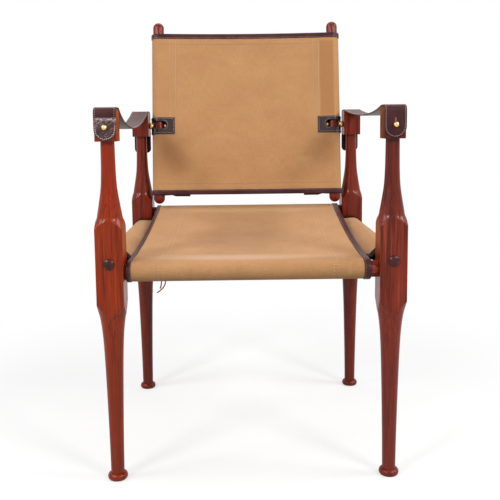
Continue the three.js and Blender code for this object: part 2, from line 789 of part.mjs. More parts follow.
function tailSolid(route) {
  const hung = knotTop(0, 'front').addScaledVector(zAxis, -knotHeight);
  const points = route.map((offset) => new THREE.Vector3(...offset).add(hung));
  return cordSolid(new THREE.CatmullRomCurve3(points).getSpacedPoints(12), laceRadius);
}

// The back's outline across the chair, as points (a, b) with b towards the front
const sleeveRadius = wrapRadius(stileRadius, sleeveSweep, sleeveSteps);
const seatCrest = rearRailHeight + slingRadius + canvas / 2;
const stileBelow = pivotHeight - seatCrest - stileSeatGap;
const backBelow = stileBelow - stileFootBare;
const backPanelShares = [0, 0.25, 0.5, 0.75, 0.93];

function backPanelDepth(x) {
  return sleeveRadius - backBow * (1 - (x / stileX) ** 2);
}

// How loose the flap behind a stile is: it is sewn down above the pivot and free below it
function flapLooseness(v) {
  return THREE.MathUtils.smoothstep(-v, patchDrop + patchHeight / 2, backBelow);
}

function backHalf(v) {
  const seamX = stileX - backSeamInset;
  const flapX = stileX - backFlapInset;
  const behind = flapStep + backFlapSlack * flapLooseness(v);
  const onPanel = (x, depth = 0) => new THREE.Vector2(x, backPanelDepth(x) - depth);
  const panel = backPanelShares.map((share) => onPanel(share * seamX));
  const [leave, seam, flapEnd] = [onPanel(seamX), onPanel(seamX, behind), onPanel(flapX, behind)];
  return sleeveHalf(stileX, sleeveRadius, panel, leave, seam, flapEnd);
}

const backCount = mirroredOutline(backHalf(0)).length;
const flapPoints = 2;
const backPanel = {
  count: backCount,
  at(i, v) {
    const point = mirroredOutline(backHalf(v))[i];
    const isFlap = i < flapPoints || i >= backCount - flapPoints;
    const drop = isFlap ? backFlapDrop * flapLooseness(v) : 0;
    return new THREE.Vector3(point.x, -point.y, v - drop);
  },
};
const backHeights = [...evenly(-backBelow, 0, 3), backAbove];

// The window at a pivot: a slot with a round inner end, open at the sleeve's outer edge
function windowCutter(side, slack) {
  const half = windowHeight / 2 + slack;
  const innerX = stileX - windowInset + windowHeight / 2;
  const outerX = stileX + sleeveRadius + 2 * patchLeather + overrun;
  const shape = new THREE.Shape();
  shape.moveTo(side * outerX, -half);
  shape.lineTo(side * outerX, half);
  const [from, to] = side > 0 ? [quarterTurn, 3 * quarterTurn] : [quarterTurn, -quarterTurn];
  shape.absarc(side * innerX, 0, half, from, to, side < 0);
  const reach = sleeveRadius + 2 * patchLeather + overrun;
  return prism(shape, xAxis, zAxis, -reach, reach, { curveSegments: 5 });
}

function backCanvasSolid() {
  return sheet(backPanel, backHeights, canvas / 2)
    .subtract(windowCutter(-1, fit)).subtract(windowCutter(1, fit));
}

// The leather patch that wraps the sleeve's edge at a pivot
function patchSolid(side) {
  const lift = (canvas + patchLeather) / 2 + fit;
  const wrapped = wrapRadius(sleeveRadius + canvas / 2, sleeveSweep, sleeveSteps);
  const reach = wrapped + (patchLeather - canvas) / 2;
  const innerX = stileX - patchInset;
  const front = new THREE.Vector2(innerX, backPanelDepth(innerX) + lift);
  const rear = new THREE.Vector2(innerX, backPanelDepth(innerX) - flapStep - lift);
  const half = sleeveHalf(stileX, reach, [], front, rear, rear).slice(0, -1);
  const points = side > 0 ? half : half.map((point) => new THREE.Vector2(-point.x, point.y)).reverse();
  const panel = { count: points.length, at: (i, v) => new THREE.Vector3(points[i].x, -points[i].y, v) };
  const heights = [-patchDrop - patchHeight / 2, patchHeight / 2 - patchDrop];
  return sheet(panel, heights, patchLeather / 2).subtract(windowCutter(side, 0));
}

function stileSolid() {
  const top = arc(0, stileAbove - stileRadius, stileRadius, 0, quarterTurn, 5).map((p) => [p.x, p.y]);
  const bottom = arc(0, stileRadius - stileBelow, stileRadius, -quarterTurn, 0, 5).map((p) => [p.x, p.y]);
  const reach = new THREE.Vector3(stileRadius + overrun, 0, 0);
  return turned([...bottom, ...top], new THREE.Vector3(), zAxis)
    .subtract(bore(reach.clone().negate(), reach, pivotRadius + fit));
}

// The pivot bolt runs from a sunk head in the cap's outer face to the nut inside the stile
const pivotLength = halfX + halfCap - (stileX - stileRadius) + nutLength;

function pivotBoltSolid(start, direction) {
  const profile = [[0, 0], [pivotHeadRadius, 0], [pivotRadius, pivotHeadDepth], [pivotRadius, pivotLength],
    [0, pivotLength]];
  return turned(profile, start, direction, smallSides);
}

function spacerSolid(start, direction) {
  const inner = pivotRadius + fit;
  const belly = arc(0, 0, 1, -quarterTurn, quarterTurn, 4).map((unit) => [
    spacerEndRadius + (spacerBelly - spacerEndRadius) * unit.x, (spacerLength * (1 + unit.y)) / 2,
  ]);
  return turned([[inner, 0], ...belly, [inner, spacerLength], [inner, 0]], start, direction, headSides);
}

// The acorn nut, six-sided at its foot and domed over the bolt's end
function nutSolid(start, direction) {
  const corner = nutAcross / 2 / Math.cos(quarterTurn / 3);
  const top = nutLength + nutDome;
  const dome = arc(0, 0, 1, 0, quarterTurn, 3).map((unit) => [
    (nutAcross / 2) * unit.x, nutLength - nutWall + (top - nutLength + nutWall) * unit.y,
  ]);
  const hex = turned([[0, 0], [corner, 0], [corner, nutLength], [0, nutLength]], start, direction, 6);
  const cap = turned([[0, nutLength - nutWall], ...dome], start, direction, headSides);
  const mouth = start.clone().addScaledVector(direction, -overrun);
  const bottom = start.clone().addScaledVector(direction, nutLength);
  return hex.add(cap).subtract(bore(mouth, bottom, pivotRadius + fit));
}

// Putting the chair together
const chair = new THREE.Group();
const back = new THREE.Group();
back.position.set(0, legSpacingY, pivotHeight);
back.rotation.x = -backLean;
chair.add(back);

const sides = [['left', -1], ['right', 1]];
const ends = [['front', -1, 0], ['back', 1, legSpacingY]];
const bolt = boltSolid();
const stud = studSolid();

for (const [endName, end, y] of ends) {
  for (const [sideName, side] of sides) {
    const leg = piece(`leg_${endName}_${sideName}`, end < 0 ? 'wood' : 'darkWood', legSolid(side, end));
    leg.position.set(side * halfX, y, 0);
    const outwards = new THREE.Vector3(0, end, 0);
    const boltSeat = new THREE.Vector3(side * halfX, y + end * halfLeg, sideRailHeight);
    const studSeat = new THREE.Vector3(side * halfX, y + end * halfCap, studHeight);
    chair.add(
      leg,
      piece(`side_rail_bolt_${endName}_${sideName}`, 'brownMetal', bolt(boltSeat, outwards)),
      piece(`strap_stud_${endName}_${sideName}`, 'brass', stud(studSeat, outwards)),
    );
  }
}

const crossReach = halfX - halfLeg;
const sideReach = legSpacingY / 2 - halfLeg;
const crossRails = [['front_rail', 0, frontRailHeight], ['rear_rail', legSpacingY, rearRailHeight]];
for (const [name, y, z] of crossRails) {
  const rail = piece(name, 'wood', railSolid(crossReach, tenonTip, tenonLength, 0, xAxis));
  rail.position.set(0, y, z);
  chair.add(rail);
}
for (const [sideName, side] of sides) {
  const sideRail = railSolid(sideReach, sideTenonTip, sideTenonLength, boltBite + overrun, yAxis);
  const rail = piece(`side_rail_${sideName}`, 'wood', sideRail);
  rail.position.set(side * halfX, legSpacingY / 2, sideRailHeight);
  const hung = strapSolid(side < 0 ? strapSagLeft : strapSagRight);
  const strap = piece(`arm_strap_${sideName}`, 'leather', hung);
  strap.position.x = side * halfX;
  chair.add(rail, strap);
}

chair.add(
  piece('seat_top_sling', 'canvas', topSlingSolid()),
  piece('seat_binding_left', 'leather', bindingOn(seatPanel, -seatHalfWidth, 1, seatBindingLeft)),
  piece('seat_binding_right', 'leather', bindingOn(seatPanel, seatHalfWidth, -1, seatBindingRight)),
  piece('seat_lower_sling', 'canvas', sheet(lowerPanel, lowerDepths, canvas / 2)),
  piece('lower_sling_binding_front', 'leather', bindingOn(lowerPanel, lowerFront, 1, lowerBindingWidth)),
  piece('lower_sling_binding_rear', 'leather', bindingOn(lowerPanel, lowerRear, -1, lowerBindingWidth)),
  piece('seat_lace', 'cord', cordSolid(lacePoints(), laceRadius)),
  piece('lace_knot_front', 'cord', knotSolid(knotTop(0, 'front'))),
  piece('lace_knot_rear', 'cord', knotSolid(knotTop(eyeletCount - 1, 'rear'))),
  piece('lace_tail_long', 'cord', tailSolid(tailRoutes.long)),
  piece('lace_tail_short', 'cord', tailSolid(tailRoutes.short)),
);

for (const [sideName, side] of sides) {
  const inwards = new THREE.Vector3(-side, 0, 0);
  const headSeat = new THREE.Vector3(side * (halfX + halfCap), legSpacingY, pivotHeight);
  const spacerSeat = new THREE.Vector3(side * (halfX - halfCap - fit), legSpacingY, pivotHeight);
  const nutSeat = new THREE.Vector3(side * (stileX - stileRadius - fit), legSpacingY, pivotHeight);
  chair.add(
    piece(`pivot_bolt_${sideName}`, 'brass', pivotBoltSolid(headSeat, inwards)),
    piece(`pivot_spacer_${sideName}`, 'brass', spacerSolid(spacerSeat, inwards)),
    piece(`pivot_nut_${sideName}`, 'brass', nutSolid(nutSeat, inwards)),
  );
  const stile = piece(`back_stile_${sideName}`, 'darkWood', stileSolid());
  stile.position.x = side * stileX;
  back.add(stile, piece(`pivot_patch_${sideName}`, 'leather', patchSolid(side)));
}

back.add(
  piece('back_canvas', 'canvas', backCanvasSolid()),
  piece('back_binding_top', 'leather', bindingOn(backPanel, backAbove, -1, backBindingWidth)),
  piece('back_binding_bottom', 'leather', bindingOn(backPanel, -backBelow, 1, backBindingWidth)),
);

// The origin is the middle of the chair's footprint, on the floor
chair.updateMatrixWorld(true);
const bounds = new THREE.Box3().setFromObject(chair, true);
chair.position.set(-(bounds.min.x + bounds.max.x) / 2, -(bounds.min.y + bounds.max.y) / 2, -bounds.min.z);

export default chair;
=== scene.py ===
import math
import bmesh
import bpy
import numpy as np
from mathutils import Matrix, Vector


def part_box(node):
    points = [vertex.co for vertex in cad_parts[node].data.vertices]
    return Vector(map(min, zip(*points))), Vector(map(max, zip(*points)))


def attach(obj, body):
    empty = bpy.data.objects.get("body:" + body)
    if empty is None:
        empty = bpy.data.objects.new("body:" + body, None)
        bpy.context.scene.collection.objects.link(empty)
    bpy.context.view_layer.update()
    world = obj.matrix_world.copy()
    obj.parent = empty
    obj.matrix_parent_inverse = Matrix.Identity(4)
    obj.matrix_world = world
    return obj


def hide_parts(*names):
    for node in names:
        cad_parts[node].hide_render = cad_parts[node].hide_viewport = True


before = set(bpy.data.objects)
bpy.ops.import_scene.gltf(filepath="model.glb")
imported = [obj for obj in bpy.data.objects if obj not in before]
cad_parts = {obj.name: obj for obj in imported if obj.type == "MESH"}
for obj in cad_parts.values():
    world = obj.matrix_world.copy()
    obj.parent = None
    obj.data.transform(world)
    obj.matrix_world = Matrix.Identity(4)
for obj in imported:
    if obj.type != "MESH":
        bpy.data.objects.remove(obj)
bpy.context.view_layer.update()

# The camera stands where the photographer stood: a little above the arms, almost square to the front
# and looking slightly down. The photograph is cropped a little off the lens's middle.
camera_data = bpy.data.cameras.new("camera")
camera_data.lens = 51.78
camera_data.sensor_width = 36
camera_data.shift_x = 0.0096
camera_data.shift_y = -0.087
camera = bpy.data.objects.new("camera", camera_data)
bpy.context.scene.collection.objects.link(camera)
camera.matrix_world = (
    Matrix.Translation((-0.02524, -1.487175, 0.63959))
    @ Matrix.Rotation(math.radians(-0.69), 4, "Z")
    @ Matrix.Rotation(math.radians(83.4), 4, "X")
    @ Matrix.Rotation(math.radians(-0.61), 4, "Z")
)
bpy.context.scene.camera = camera
bpy.context.scene.view_settings.view_transform = "Standard"

# Two loose ends of the lace hang from its knot under the front left of the seat. They are round
# waxed cotton lace, cut off bare.
LACE_THICK = 0.0025
knot_low, knot_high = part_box("lace_knot_front")
knot_foot = Vector(((knot_low.x + knot_high.x) / 2, (knot_low.y + knot_high.y) / 2, knot_low.z))
tail_routes = {
    "long": [
        (1.6, 0, -0.6), (2, 0, -6), (3.5, 0.5, -13), (5.5, 1, -20), (7, 1, -27),
        (7, 0.5, -33), (5, 0, -39), (1, -0.5, -44.5), (-4, -0.5, -49), (-9.5, 0, -53),
    ],
    "short": [
        (-1.6, 0, -0.6), (-2, 0, -6), (-2.2, 0, -13), (-1.6, 0.4, -20),
        (-0.6, 0.6, -27), (-0.6, 0.4, -33), (-1.6, 0, -39), (-3, -0.3, -44.5),
    ],
}


def smooth_run(points, steps):
    """Points on the smooth curve through the given ones, with so many steps between two of them."""
    out = []
    ends = [points[0] * 2 - points[1]] + points + [points[-1] * 2 - points[-2]]
    for a, b, c, d in zip(ends, ends[1:], ends[2:], ends[3:]):
        for k in range(steps):
            t = k / steps
            out.append(0.5 * ((2 * b) + (c - a) * t + (2 * a - 5 * b + 4 * c - d) * t ** 2
                              + (3 * b - a - 3 * c + d) * t ** 3))
    return out + [points[-1]]


class Wire:
    """One socket in a material's nodes. Sums and products of wires add Math nodes."""

    def __init__(self, tree, socket=None):
        self.tree = tree
        self.socket = socket

    def node(self, kind, inputs=(), output=0, **settings):
        """Adds a node with these settings and inputs, and returns one of its outputs."""
        made = self.tree.nodes.new("ShaderNode" + kind)
        for key, value in settings.items():
            setattr(made, key, value)
        for key, value in dict(inputs).items():
            if isinstance(value, Wire):
                self.tree.links.new(value.socket, made.inputs[key])
            else:
                made.inputs[key].default_value = value
        return Wire(self.tree, made.outputs[output])

    def maths(self, operation, *values):
        return self.node("Math", dict(enumerate(values)), operation=operation)

    def __add__(self, other):
        return self.maths("ADD", self, other)

    def __sub__(self, other):
        return self.maths("SUBTRACT", self, other)

    def __rsub__(self, other):
        return self.maths("SUBTRACT", other, self)

    def __mul__(self, other):
        return self.maths("MULTIPLY", self, other)

    def __pow__(self, other):
        return self.maths("POWER", self, other)

    __radd__ = __add__
    __rmul__ = __mul__

    def between(self, low, high):
        """0 below low, 1 above high, and smooth between them."""
        inputs = {"Value": self, "From Min": low, "From Max": high}
        return self.node("MapRange", inputs, interpolation_type="SMOOTHSTEP")

    def mix(self, first, second):
        """The first colour where this is 0 and the second where it is 1."""
        return self.node("Mix", {0: self, 6: first, 7: second}, output=2, data_type="RGBA")

    def noise(self, scale, detail=2, roughness=0.5, stretch=(1, 1, 1), distortion=0):
        """Cloudy noise on these coordinates, stretched along the axes."""
        place = self.node("VectorMath", {0: self, 1: stretch}, operation="MULTIPLY")
        inputs = {
            "Vector": place, "Scale": scale, "Detail": detail, "Roughness": roughness,
            "Distortion": distortion,
        }
        return self.node("TexNoise", inputs)

    def part(self, axis):
        return self.node("SeparateXYZ", {0: self}, output="XYZ".index(axis))


def paint(red, green, blue):
    """A colour as it looks on a screen, 0 to 255, in the linear numbers that shaders use."""
    shares = [value / 255 for value in (red, green, blue)]
    return (*[s / 12.92 if s <= 0.04045 else ((s + 0.055) / 1.055) ** 2.4 for s in shares], 1)


def new_material(name, **constants):
    """A material with one Principled shader. Returns it, a wire to grow nodes from and the shader."""
    material = bpy.data.materials.new(name)
    material.use_nodes = True
    tree = material.node_tree
    shader = tree.nodes["Principled BSDF"]
    for socket, value in constants.items():
        shader.inputs[socket.replace("_", " ")].default_value = value
    return material, Wire(tree), shader


def feed(shader, **wires):
    """Joins wires to the shader's sockets. height is a pair: a wire and its depth in metres."""
    for socket, wire in wires.items():
        if socket == "height":
            wire, depth = wire
            wire = wire.node("Bump", {"Height": wire, "Distance": depth, "Strength": 1})
            socket = "Normal"
        tree = wire.tree
        tree.links.new(wire.socket, shader.inputs[socket.replace("_", " ")])


def lace_material():
    material, root, shader = new_material("waxed lace", Specular_IOR_Level=0.35)
    place = root.node("TexCoord", output=3)
    strands = place.noise(900, 2, stretch=(1, 1, 0.35))
    dye = place.noise(140, 3)
    colour = (strands * 0.6 + dye * 0.4).between(0.3, 0.7).mix(paint(162, 98, 36), paint(222, 154, 76))
    feed(shader, Base_Color=colour, Roughness=0.55 + dye * 0.25, height=(strands, 0.0004))
    return material


lace = lace_material()


def round_cord(name, points):
    curve = bpy.data.curves.new(name, "CURVE")
    curve.dimensions = "3D"
    curve.bevel_depth = LACE_THICK / 2
    curve.bevel_resolution = 4
    curve.use_fill_caps = True
    spline = curve.splines.new("POLY")
    spline.points.add(len(points) - 1)
    for target, point in zip(spline.points, points):
        target.co = (*point, 1)
    curve.materials.append(lace)
    cord = bpy.data.objects.new(name, curve)
    bpy.context.scene.collection.objects.link(cord)
    return cord


for name, route in tail_routes.items():
    points = smooth_run([knot_foot + Vector(offset) / 1000 for offset in route], 4)
    tail = round_cord(f"lace_tail_{name}_cord", points)
    length = sum((b - a).length for a, b in zip(points, points[1:]))
    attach(tail, "chair_frame")
    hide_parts(f"lace_tail_{name}")
    tuple(points[0])

# Four legs, each turned from a square hardwood blank. The foot bead, the long taper and the neck are
# round; the square left between them meets the turning in pointed tongues, and the cap is square
# again. They are bored for the rails' tapered tenons, the bolts and the studs, and oiled to a gloss.
LEG_SQUARE = 0.048
LEG_ARRIS = 0.002
LEG_TURNING_STEPS = 96
FOOT_RADIUS, FOOT_HEIGHT, FOOT_UNDERCUT = 0.018, 0.0125, math.radians(60)
ANKLE_RADIUS, NECK_RADIUS = 0.012, 0.0121
SQUARE_BOTTOM, SQUARE_TOP, CAP_BOTTOM = 0.329, 0.4595, 0.611
CAP_WIDTH, CAP_HEIGHT, CAP_ROUND, CAP_ARRIS = 0.0375, 0.055, 0.007, 0.0008
RAIL_RADIUS = 0.015
TENON_ROOT, TENON_TIP, TENON_LENGTH = 0.010, 0.007, 0.030
SIDE_TENON_TIP, SIDE_TENON_LENGTH = 0.009, 0.0117
FIT = 0.0003
BOLT_BORE = 0.0038
STUD_BORE, STUD_BORE_DEPTH = 0.0019, 0.0103
PIVOT_BORE = 0.0033
NECK_INTO_CAP = 0.006
RAIL_HEIGHTS = {"front": 0.382, "back": 0.429, "side": 0.400}
PIVOT_HEIGHT = 0.6355
STUD_HEIGHT = 0.635
taper_shares = (
    (0, 0.182, 0.385, 0.584, 0.723, 0.81, 0.874, 0.923, 0.965, 1),
    (0, 0.032, 0.091, 0.164, 0.236, 0.309, 0.405, 0.518, 0.709, 1),
)
neck_shares = (
    (0, 0.205, 0.363, 0.548, 0.733, 0.825, 0.9, 1),
    (0, 0.014, 0.037, 0.114, 0.31, 0.425, 0.543, 1),
)


def wood_material(name, along, colours, shift=0, tones=None):
    """Oiled rosewood whose grain runs along one axis. colours are dark, middle, light and vein. tones
    are the colours that the wood leans to below and above a leg's square."""
    dark, middle, light, vein = colours
    material, root, shader = new_material(name, Coat_Roughness=0.18, Specular_IOR_Level=0.03)
    long_way = tuple(0.06 if axis == along else 1 for axis in "XYZ")
    longer_way = tuple(0.025 if axis == along else 1 for axis in "XYZ")
    place = root.node("TexCoord", output=3)
    level = place.part("Z")
    place = place.node("VectorMath", {0: place, 1: (shift, shift * 0.7, shift * 1.3)}, operation="ADD")
    figure = place.noise(85, 3, 0.6, long_way, 0.5)
    streaks = place.noise(300, 4, 0.65, longer_way, 0.4)
    pores = place.noise(700, 2, 0.6, longer_way)
    clouds = place.noise(9, 2)
    body = figure.between(0.32, 0.68).mix(middle, light)
    body = (streaks.between(0.3, 0.46) * 0.6).mix(vein, body)
    body = ((streaks * 0.45 + figure * 0.55).between(0.45, 0.63) * 0.7).mix(body, dark)
    body = (pores.between(0.5, 0.72) * 0.55).mix(body, dark)
    body = (clouds.between(0.35, 0.7) * 0.2).mix(body, middle)
    if tones:
        below = 1 - level.between(SQUARE_BOTTOM - 0.12, SQUARE_BOTTOM + 0.02)
        above = level.between(SQUARE_TOP - 0.01, SQUARE_TOP + 0.05)
        body = (below * 0.5).mix(body, tones[0])
        body = (above * 0.5).mix(body, tones[1])
    gloss = 0.3 + pores.between(0.5, 0.75) * 0.12 + clouds * 0.08
    feed(shader, Base_Color=body, Roughness=gloss, Coat_Weight=0.42 - pores.between(0.5, 0.8) * 0.05,
         height=(streaks * 0.4 + pores * 0.6, 0.00001))
    return material


def spin_profile(bm, profile, steps, place=Matrix()):
    """Spins (radius, height) pairs round Z into a closed turning, set in place by a matrix."""
    line = [bm.verts.new((radius, 0, height)) for radius, height in profile]
    edges = [bm.edges.new(pair) for pair in zip(line, line[1:])]
    if profile[0] == profile[-1]:
        bmesh.ops.remove_doubles(bm, verts=[line[0], line[-1]], dist=1e-7)
        line = [v for v in line if v.is_valid]
    before = {v for v in bm.verts if v.is_valid} - set(line)
    bmesh.ops.spin(bm, geom=line + [e for e in edges if e.is_valid], cent=(0, 0, 0), axis=(0, 0, 1),
                   dvec=(0, 0, 0), angle=math.tau, steps=steps, use_merge=True,
                   use_normal_flip=False, use_duplicate=False)
    made = [v for v in bm.verts if v not in before]
    bmesh.ops.remove_doubles(bm, verts=made, dist=1e-7)
    made = [v for v in bm.verts if v not in before]
    bmesh.ops.transform(bm, matrix=place, verts=made)
    return made


def pointing(start, direction):
    """The matrix that puts a turning's foot at start and its axis along direction."""
    turn = Vector((0, 0, 1)).rotation_difference(Vector(direction)).to_matrix().to_4x4()
    return Matrix.Translation(start) @ turn


def make_piece(bm, name, material, body, nodes, sharp=35):
    """A mesh object that rides on a body and stands for some CAD nodes."""
    bmesh.ops.remove_doubles(bm, verts=bm.verts, dist=2e-6)
    bmesh.ops.recalc_face_normals(bm, faces=bm.faces)
    mesh = bpy.data.meshes.new(name)
    bm.to_mesh(mesh)
    bm.free()
    mesh.shade_smooth()
    mesh.set_sharp_from_angle(angle=math.radians(sharp))
    mesh.materials.append(material)
    made = bpy.data.objects.new(name, mesh)
    bpy.context.scene.collection.objects.link(made)
    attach(made, body)
    if nodes:
        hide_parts(*nodes)
    return made


def carve(bm, cutter):
    """Cuts the closed shapes of one bmesh out of another and returns what is left."""
    meshes = []
    for part in (bm, cutter):
        bmesh.ops.recalc_face_normals(part, faces=part.faces)
        mesh = bpy.data.meshes.new("carving")
        part.to_mesh(mesh)
        part.free()
        meshes.append(bpy.data.objects.new("carving", mesh))
        bpy.context.scene.collection.objects.link(meshes[-1])
    work, tool = meshes
    cut = work.modifiers.new("cut", "BOOLEAN")
    cut.operation, cut.solver, cut.object = "DIFFERENCE", "EXACT", tool
    left = bmesh.new()
    left.from_mesh(work.evaluated_get(bpy.context.evaluated_depsgraph_get()).to_mesh())
    for item in meshes:
        mesh = item.data
        bpy.data.objects.remove(item)
        bpy.data.meshes.remove(mesh)
    return left


def spline_table(shares, low, high, narrow, wide):
    """Heights and radii along a turned curve whose shares are given."""
    points = [Vector((low + (high - low) * a, narrow + (wide - narrow) * b, 0)) for a, b in zip(*shares)]
    run = smooth_run(points, 24)
    return [p.x for p in run], [p.y for p in run]


def leg_mesh():
    """The turned part of a leg. Each ring of the spun mesh is stretched so that one follows the
    line where the turning meets the square."""
    half = LEG_SQUARE / 2
    blank = half * math.sqrt(2)
    taper_z, taper_r = spline_table(taper_shares, FOOT_HEIGHT, SQUARE_BOTTOM, ANKLE_RADIUS, blank)
    neck_z, neck_r = spline_table(neck_shares, CAP_BOTTOM, SQUARE_TOP, NECK_RADIUS, blank)
    neck_z, neck_r = neck_z[::-1], neck_r[::-1]
    bead = []
    for k in range(13):
        angle = -FOOT_UNDERCUT + (math.pi / 2 + FOOT_UNDERCUT) * k / 12
        rise = (math.sin(FOOT_UNDERCUT) + math.sin(angle)) / (1 + math.sin(FOOT_UNDERCUT))
        bead.append((ANKLE_RADIUS + (FOOT_RADIUS - ANKLE_RADIUS) * math.cos(angle), FOOT_HEIGHT * rise))
    rings = [("pole", 0), ("foot", (bead[0][0] - 0.0012, 0))]
    rings += [("foot", (bead[0][0], 0.0008))] + [("foot", pair) for pair in bead[1:]]
    rings += [("taper", (k / 46) ** 0.85) for k in range(1, 47)]
    rings += [("block", k / 8) for k in range(1, 9)]
    rings += [("neck", 1 - (1 - k / 34) ** 0.9) for k in range(1, 35)]
    rings += [("pole", CAP_BOTTOM + NECK_INTO_CAP)]
    flat_turn = math.atan2(half - LEG_ARRIS, half)

    def spread(step):
        quarter, step = divmod(step, LEG_TURNING_STEPS // 4)
        if step <= 10:
            turn = flat_turn * step / 10
        elif step >= 14:
            turn = math.pi / 2 - flat_turn * (24 - step) / 10
        else:
            turn = flat_turn + (math.pi / 2 - 2 * flat_turn) * (step - 10) / 4
        return quarter * math.pi / 2 + turn

    def reach(angle):
        """How far the rounded square goes out at an angle."""
        turn = math.pi / 4 - abs(angle % (math.pi / 2) - math.pi / 4)
        if turn <= flat_turn:
            return half / math.cos(turn)
        centre = (half - LEG_ARRIS) * math.sqrt(2)
        away = turn - math.pi / 4
        return centre * math.cos(away) + math.sqrt(LEG_ARRIS ** 2 - (centre * math.sin(away)) ** 2)

    bm = bmesh.new()
    spin_profile(bm, [(0 if kind == "pole" else 1, k) for k, (kind, _) in enumerate(rings)],
                 LEG_TURNING_STEPS)
    arris = []
    levels = {}
    for v in bm.verts:
        k = round(v.co.z)
        kind, share = rings[k]
        if kind == "pole":
            v.co = (0, 0, share)
            continue
        angle = spread(round(math.atan2(v.co.y, v.co.x) % math.tau / math.tau * LEG_TURNING_STEPS)
                       % LEG_TURNING_STEPS)
        out = reach(angle)
        low = float(np.interp(out, taper_r, taper_z))
        high = float(np.interp(-out, [-r for r in neck_r], neck_z))
        if kind == "foot":
            radius, height = share
        elif kind == "taper":
            height = FOOT_HEIGHT + (low - FOOT_HEIGHT) * share
            radius = min(out, float(np.interp(height, taper_z, taper_r)))
        elif kind == "block":
            height, radius = low + (high - low) * share, out
        else:
            height = high + (CAP_BOTTOM + NECK_INTO_CAP - high) * share
            radius = min(out, float(np.interp(height, neck_z, neck_r)))
        levels[v] = (kind, share)
        v.co = (radius * math.cos(angle), radius * math.sin(angle), height)
    for e in bm.edges:
        pair = [levels.get(v) for v in e.verts]
        if pair[0] == pair[1] and pair[0] in (("taper", 1), ("block", 1)):
            arris.append(e)
    bmesh.ops.bevel(bm, geom=arris, offset=0.0004, offset_type="OFFSET", segments=2, profile=0.5,
                    affect="EDGES", material=-1, clamp_overlap=True)
    return bm


def cap_mesh():
    """The square cap, whose top is rounded where the strap lies over it."""
    bm = bmesh.new()
    size = Matrix.Diagonal((CAP_WIDTH, CAP_WIDTH, CAP_HEIGHT, 1))
    middle = Matrix.Translation((0, 0, CAP_BOTTOM + CAP_HEIGHT / 2))
    bmesh.ops.create_cube(bm, size=1, matrix=middle @ size)
    top = [e for e in bm.edges if min(v.co.z for v in e.verts) > CAP_BOTTOM + 0.01
           and abs(e.verts[0].co.x - e.verts[1].co.x) > 0.01]
    bmesh.ops.bevel(bm, geom=top, offset=CAP_ROUND, offset_type="OFFSET", segments=8, profile=0.5,
                    affect="EDGES", material=-1)
    rims = [e for e in bm.edges if e.calc_face_angle(0) > math.radians(40)]
    bmesh.ops.bevel(bm, geom=rims, offset=CAP_ARRIS, offset_type="OFFSET", segments=3, profile=0.5,
                    affect="EDGES", material=-1, clamp_overlap=True)
    return bm


def hole(bm, start, direction, length, radius, far_radius=None):
    far_radius = radius if far_radius is None else far_radius
    spin_profile(bm, [(0, 0), (radius, 0), (far_radius, length), (0, length)], 32,
                 pointing(Vector(start), direction))


def leg(end, side, place):
    """One leg, bored for its rails, its bolt, its stud and, at the back, the pivot bolt."""
    half, half_cap = LEG_SQUARE / 2, CAP_WIDTH / 2
    body = leg_mesh()
    cuts = bmesh.new()
    slope = (TENON_ROOT - TENON_TIP) / TENON_LENGTH
    over = 0.002
    hole(cuts, (-side * (half + over), 0, RAIL_HEIGHTS["front" if end < 0 else "back"]), (side, 0, 0),
         TENON_LENGTH + over + FIT, TENON_ROOT + FIT + slope * over, TENON_TIP + FIT)
    hole(cuts, (0, -end * (half + over), RAIL_HEIGHTS["side"]), (0, end, 0),
         SIDE_TENON_LENGTH + over + FIT, TENON_ROOT + FIT, SIDE_TENON_TIP + FIT)
    hole(cuts, (0, end * (half + over), RAIL_HEIGHTS["side"]), (0, -end, 0), half + over, BOLT_BORE)
    body = carve(body, cuts)
    cap = cap_mesh()
    cuts = bmesh.new()
    hole(cuts, (0, end * (half_cap + over), STUD_HEIGHT), (0, -end, 0), over + STUD_BORE_DEPTH, STUD_BORE)
    if end > 0:
        hole(cuts, (-side * (half_cap + over), 0, PIVOT_HEIGHT), (side, 0, 0),
             CAP_WIDTH + over - 0.0025, PIVOT_BORE)
        hole(cuts, (side * (half_cap + 0.0005), 0, PIVOT_HEIGHT), (-side, 0, 0), 0.0035, 0.0068,
             PIVOT_BORE)
    cap = carve(cap, cuts)
    whole = bpy.data.meshes.new("whole")
    cap.to_mesh(whole)
    cap.free()
    body.from_mesh(whole)
    bpy.data.meshes.remove(whole)
    bmesh.ops.translate(body, vec=place, verts=body.verts)
    return body


LEFT_WOOD = [paint(*c) for c in ((56, 8, 1), (132, 28, 1), (160, 50, 1), (176, 64, 4))]
RIGHT_WOOD = [paint(*c) for c in ((50, 8, 7), (116, 24, 8), (142, 42, 16), (160, 66, 38))]
LEFT_TONES = [paint(*c) for c in ((120, 34, 6), (148, 32, 1))]
RIGHT_TONES = [paint(*c) for c in ((102, 32, 24), (60, 8, 5))]
BACK_WOOD = [paint(*c) for c in ((48, 8, 3), (100, 20, 6), (122, 30, 9), (142, 46, 18))]
leg_woods = {
    "front_left": wood_material("left leg wood", "Z", LEFT_WOOD, 0, LEFT_TONES),
    "front_right": wood_material("right leg wood", "Z", RIGHT_WOOD, 0.19, RIGHT_TONES),
    "back_left": wood_material("back left leg wood", "Z", BACK_WOOD, 0.37),
    "back_right": wood_material("back right leg wood", "Z", BACK_WOOD, 0.71),
}


def middle_of(node):
    low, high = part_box(node)
    return (Vector(low) + Vector(high)) / 2


for end_name, end in (("front", -1), ("back", 1)):
    for side_name, side in (("left", -1), ("right", 1)):
        node = f"leg_{end_name}_{side_name}"
        at = middle_of(node)
        make_piece(leg(end, side, Vector((at.x, at.y, 0))), f"turned_{node}",
                   leg_woods[f"{end_name}_{side_name}"], "chair_frame", [node])

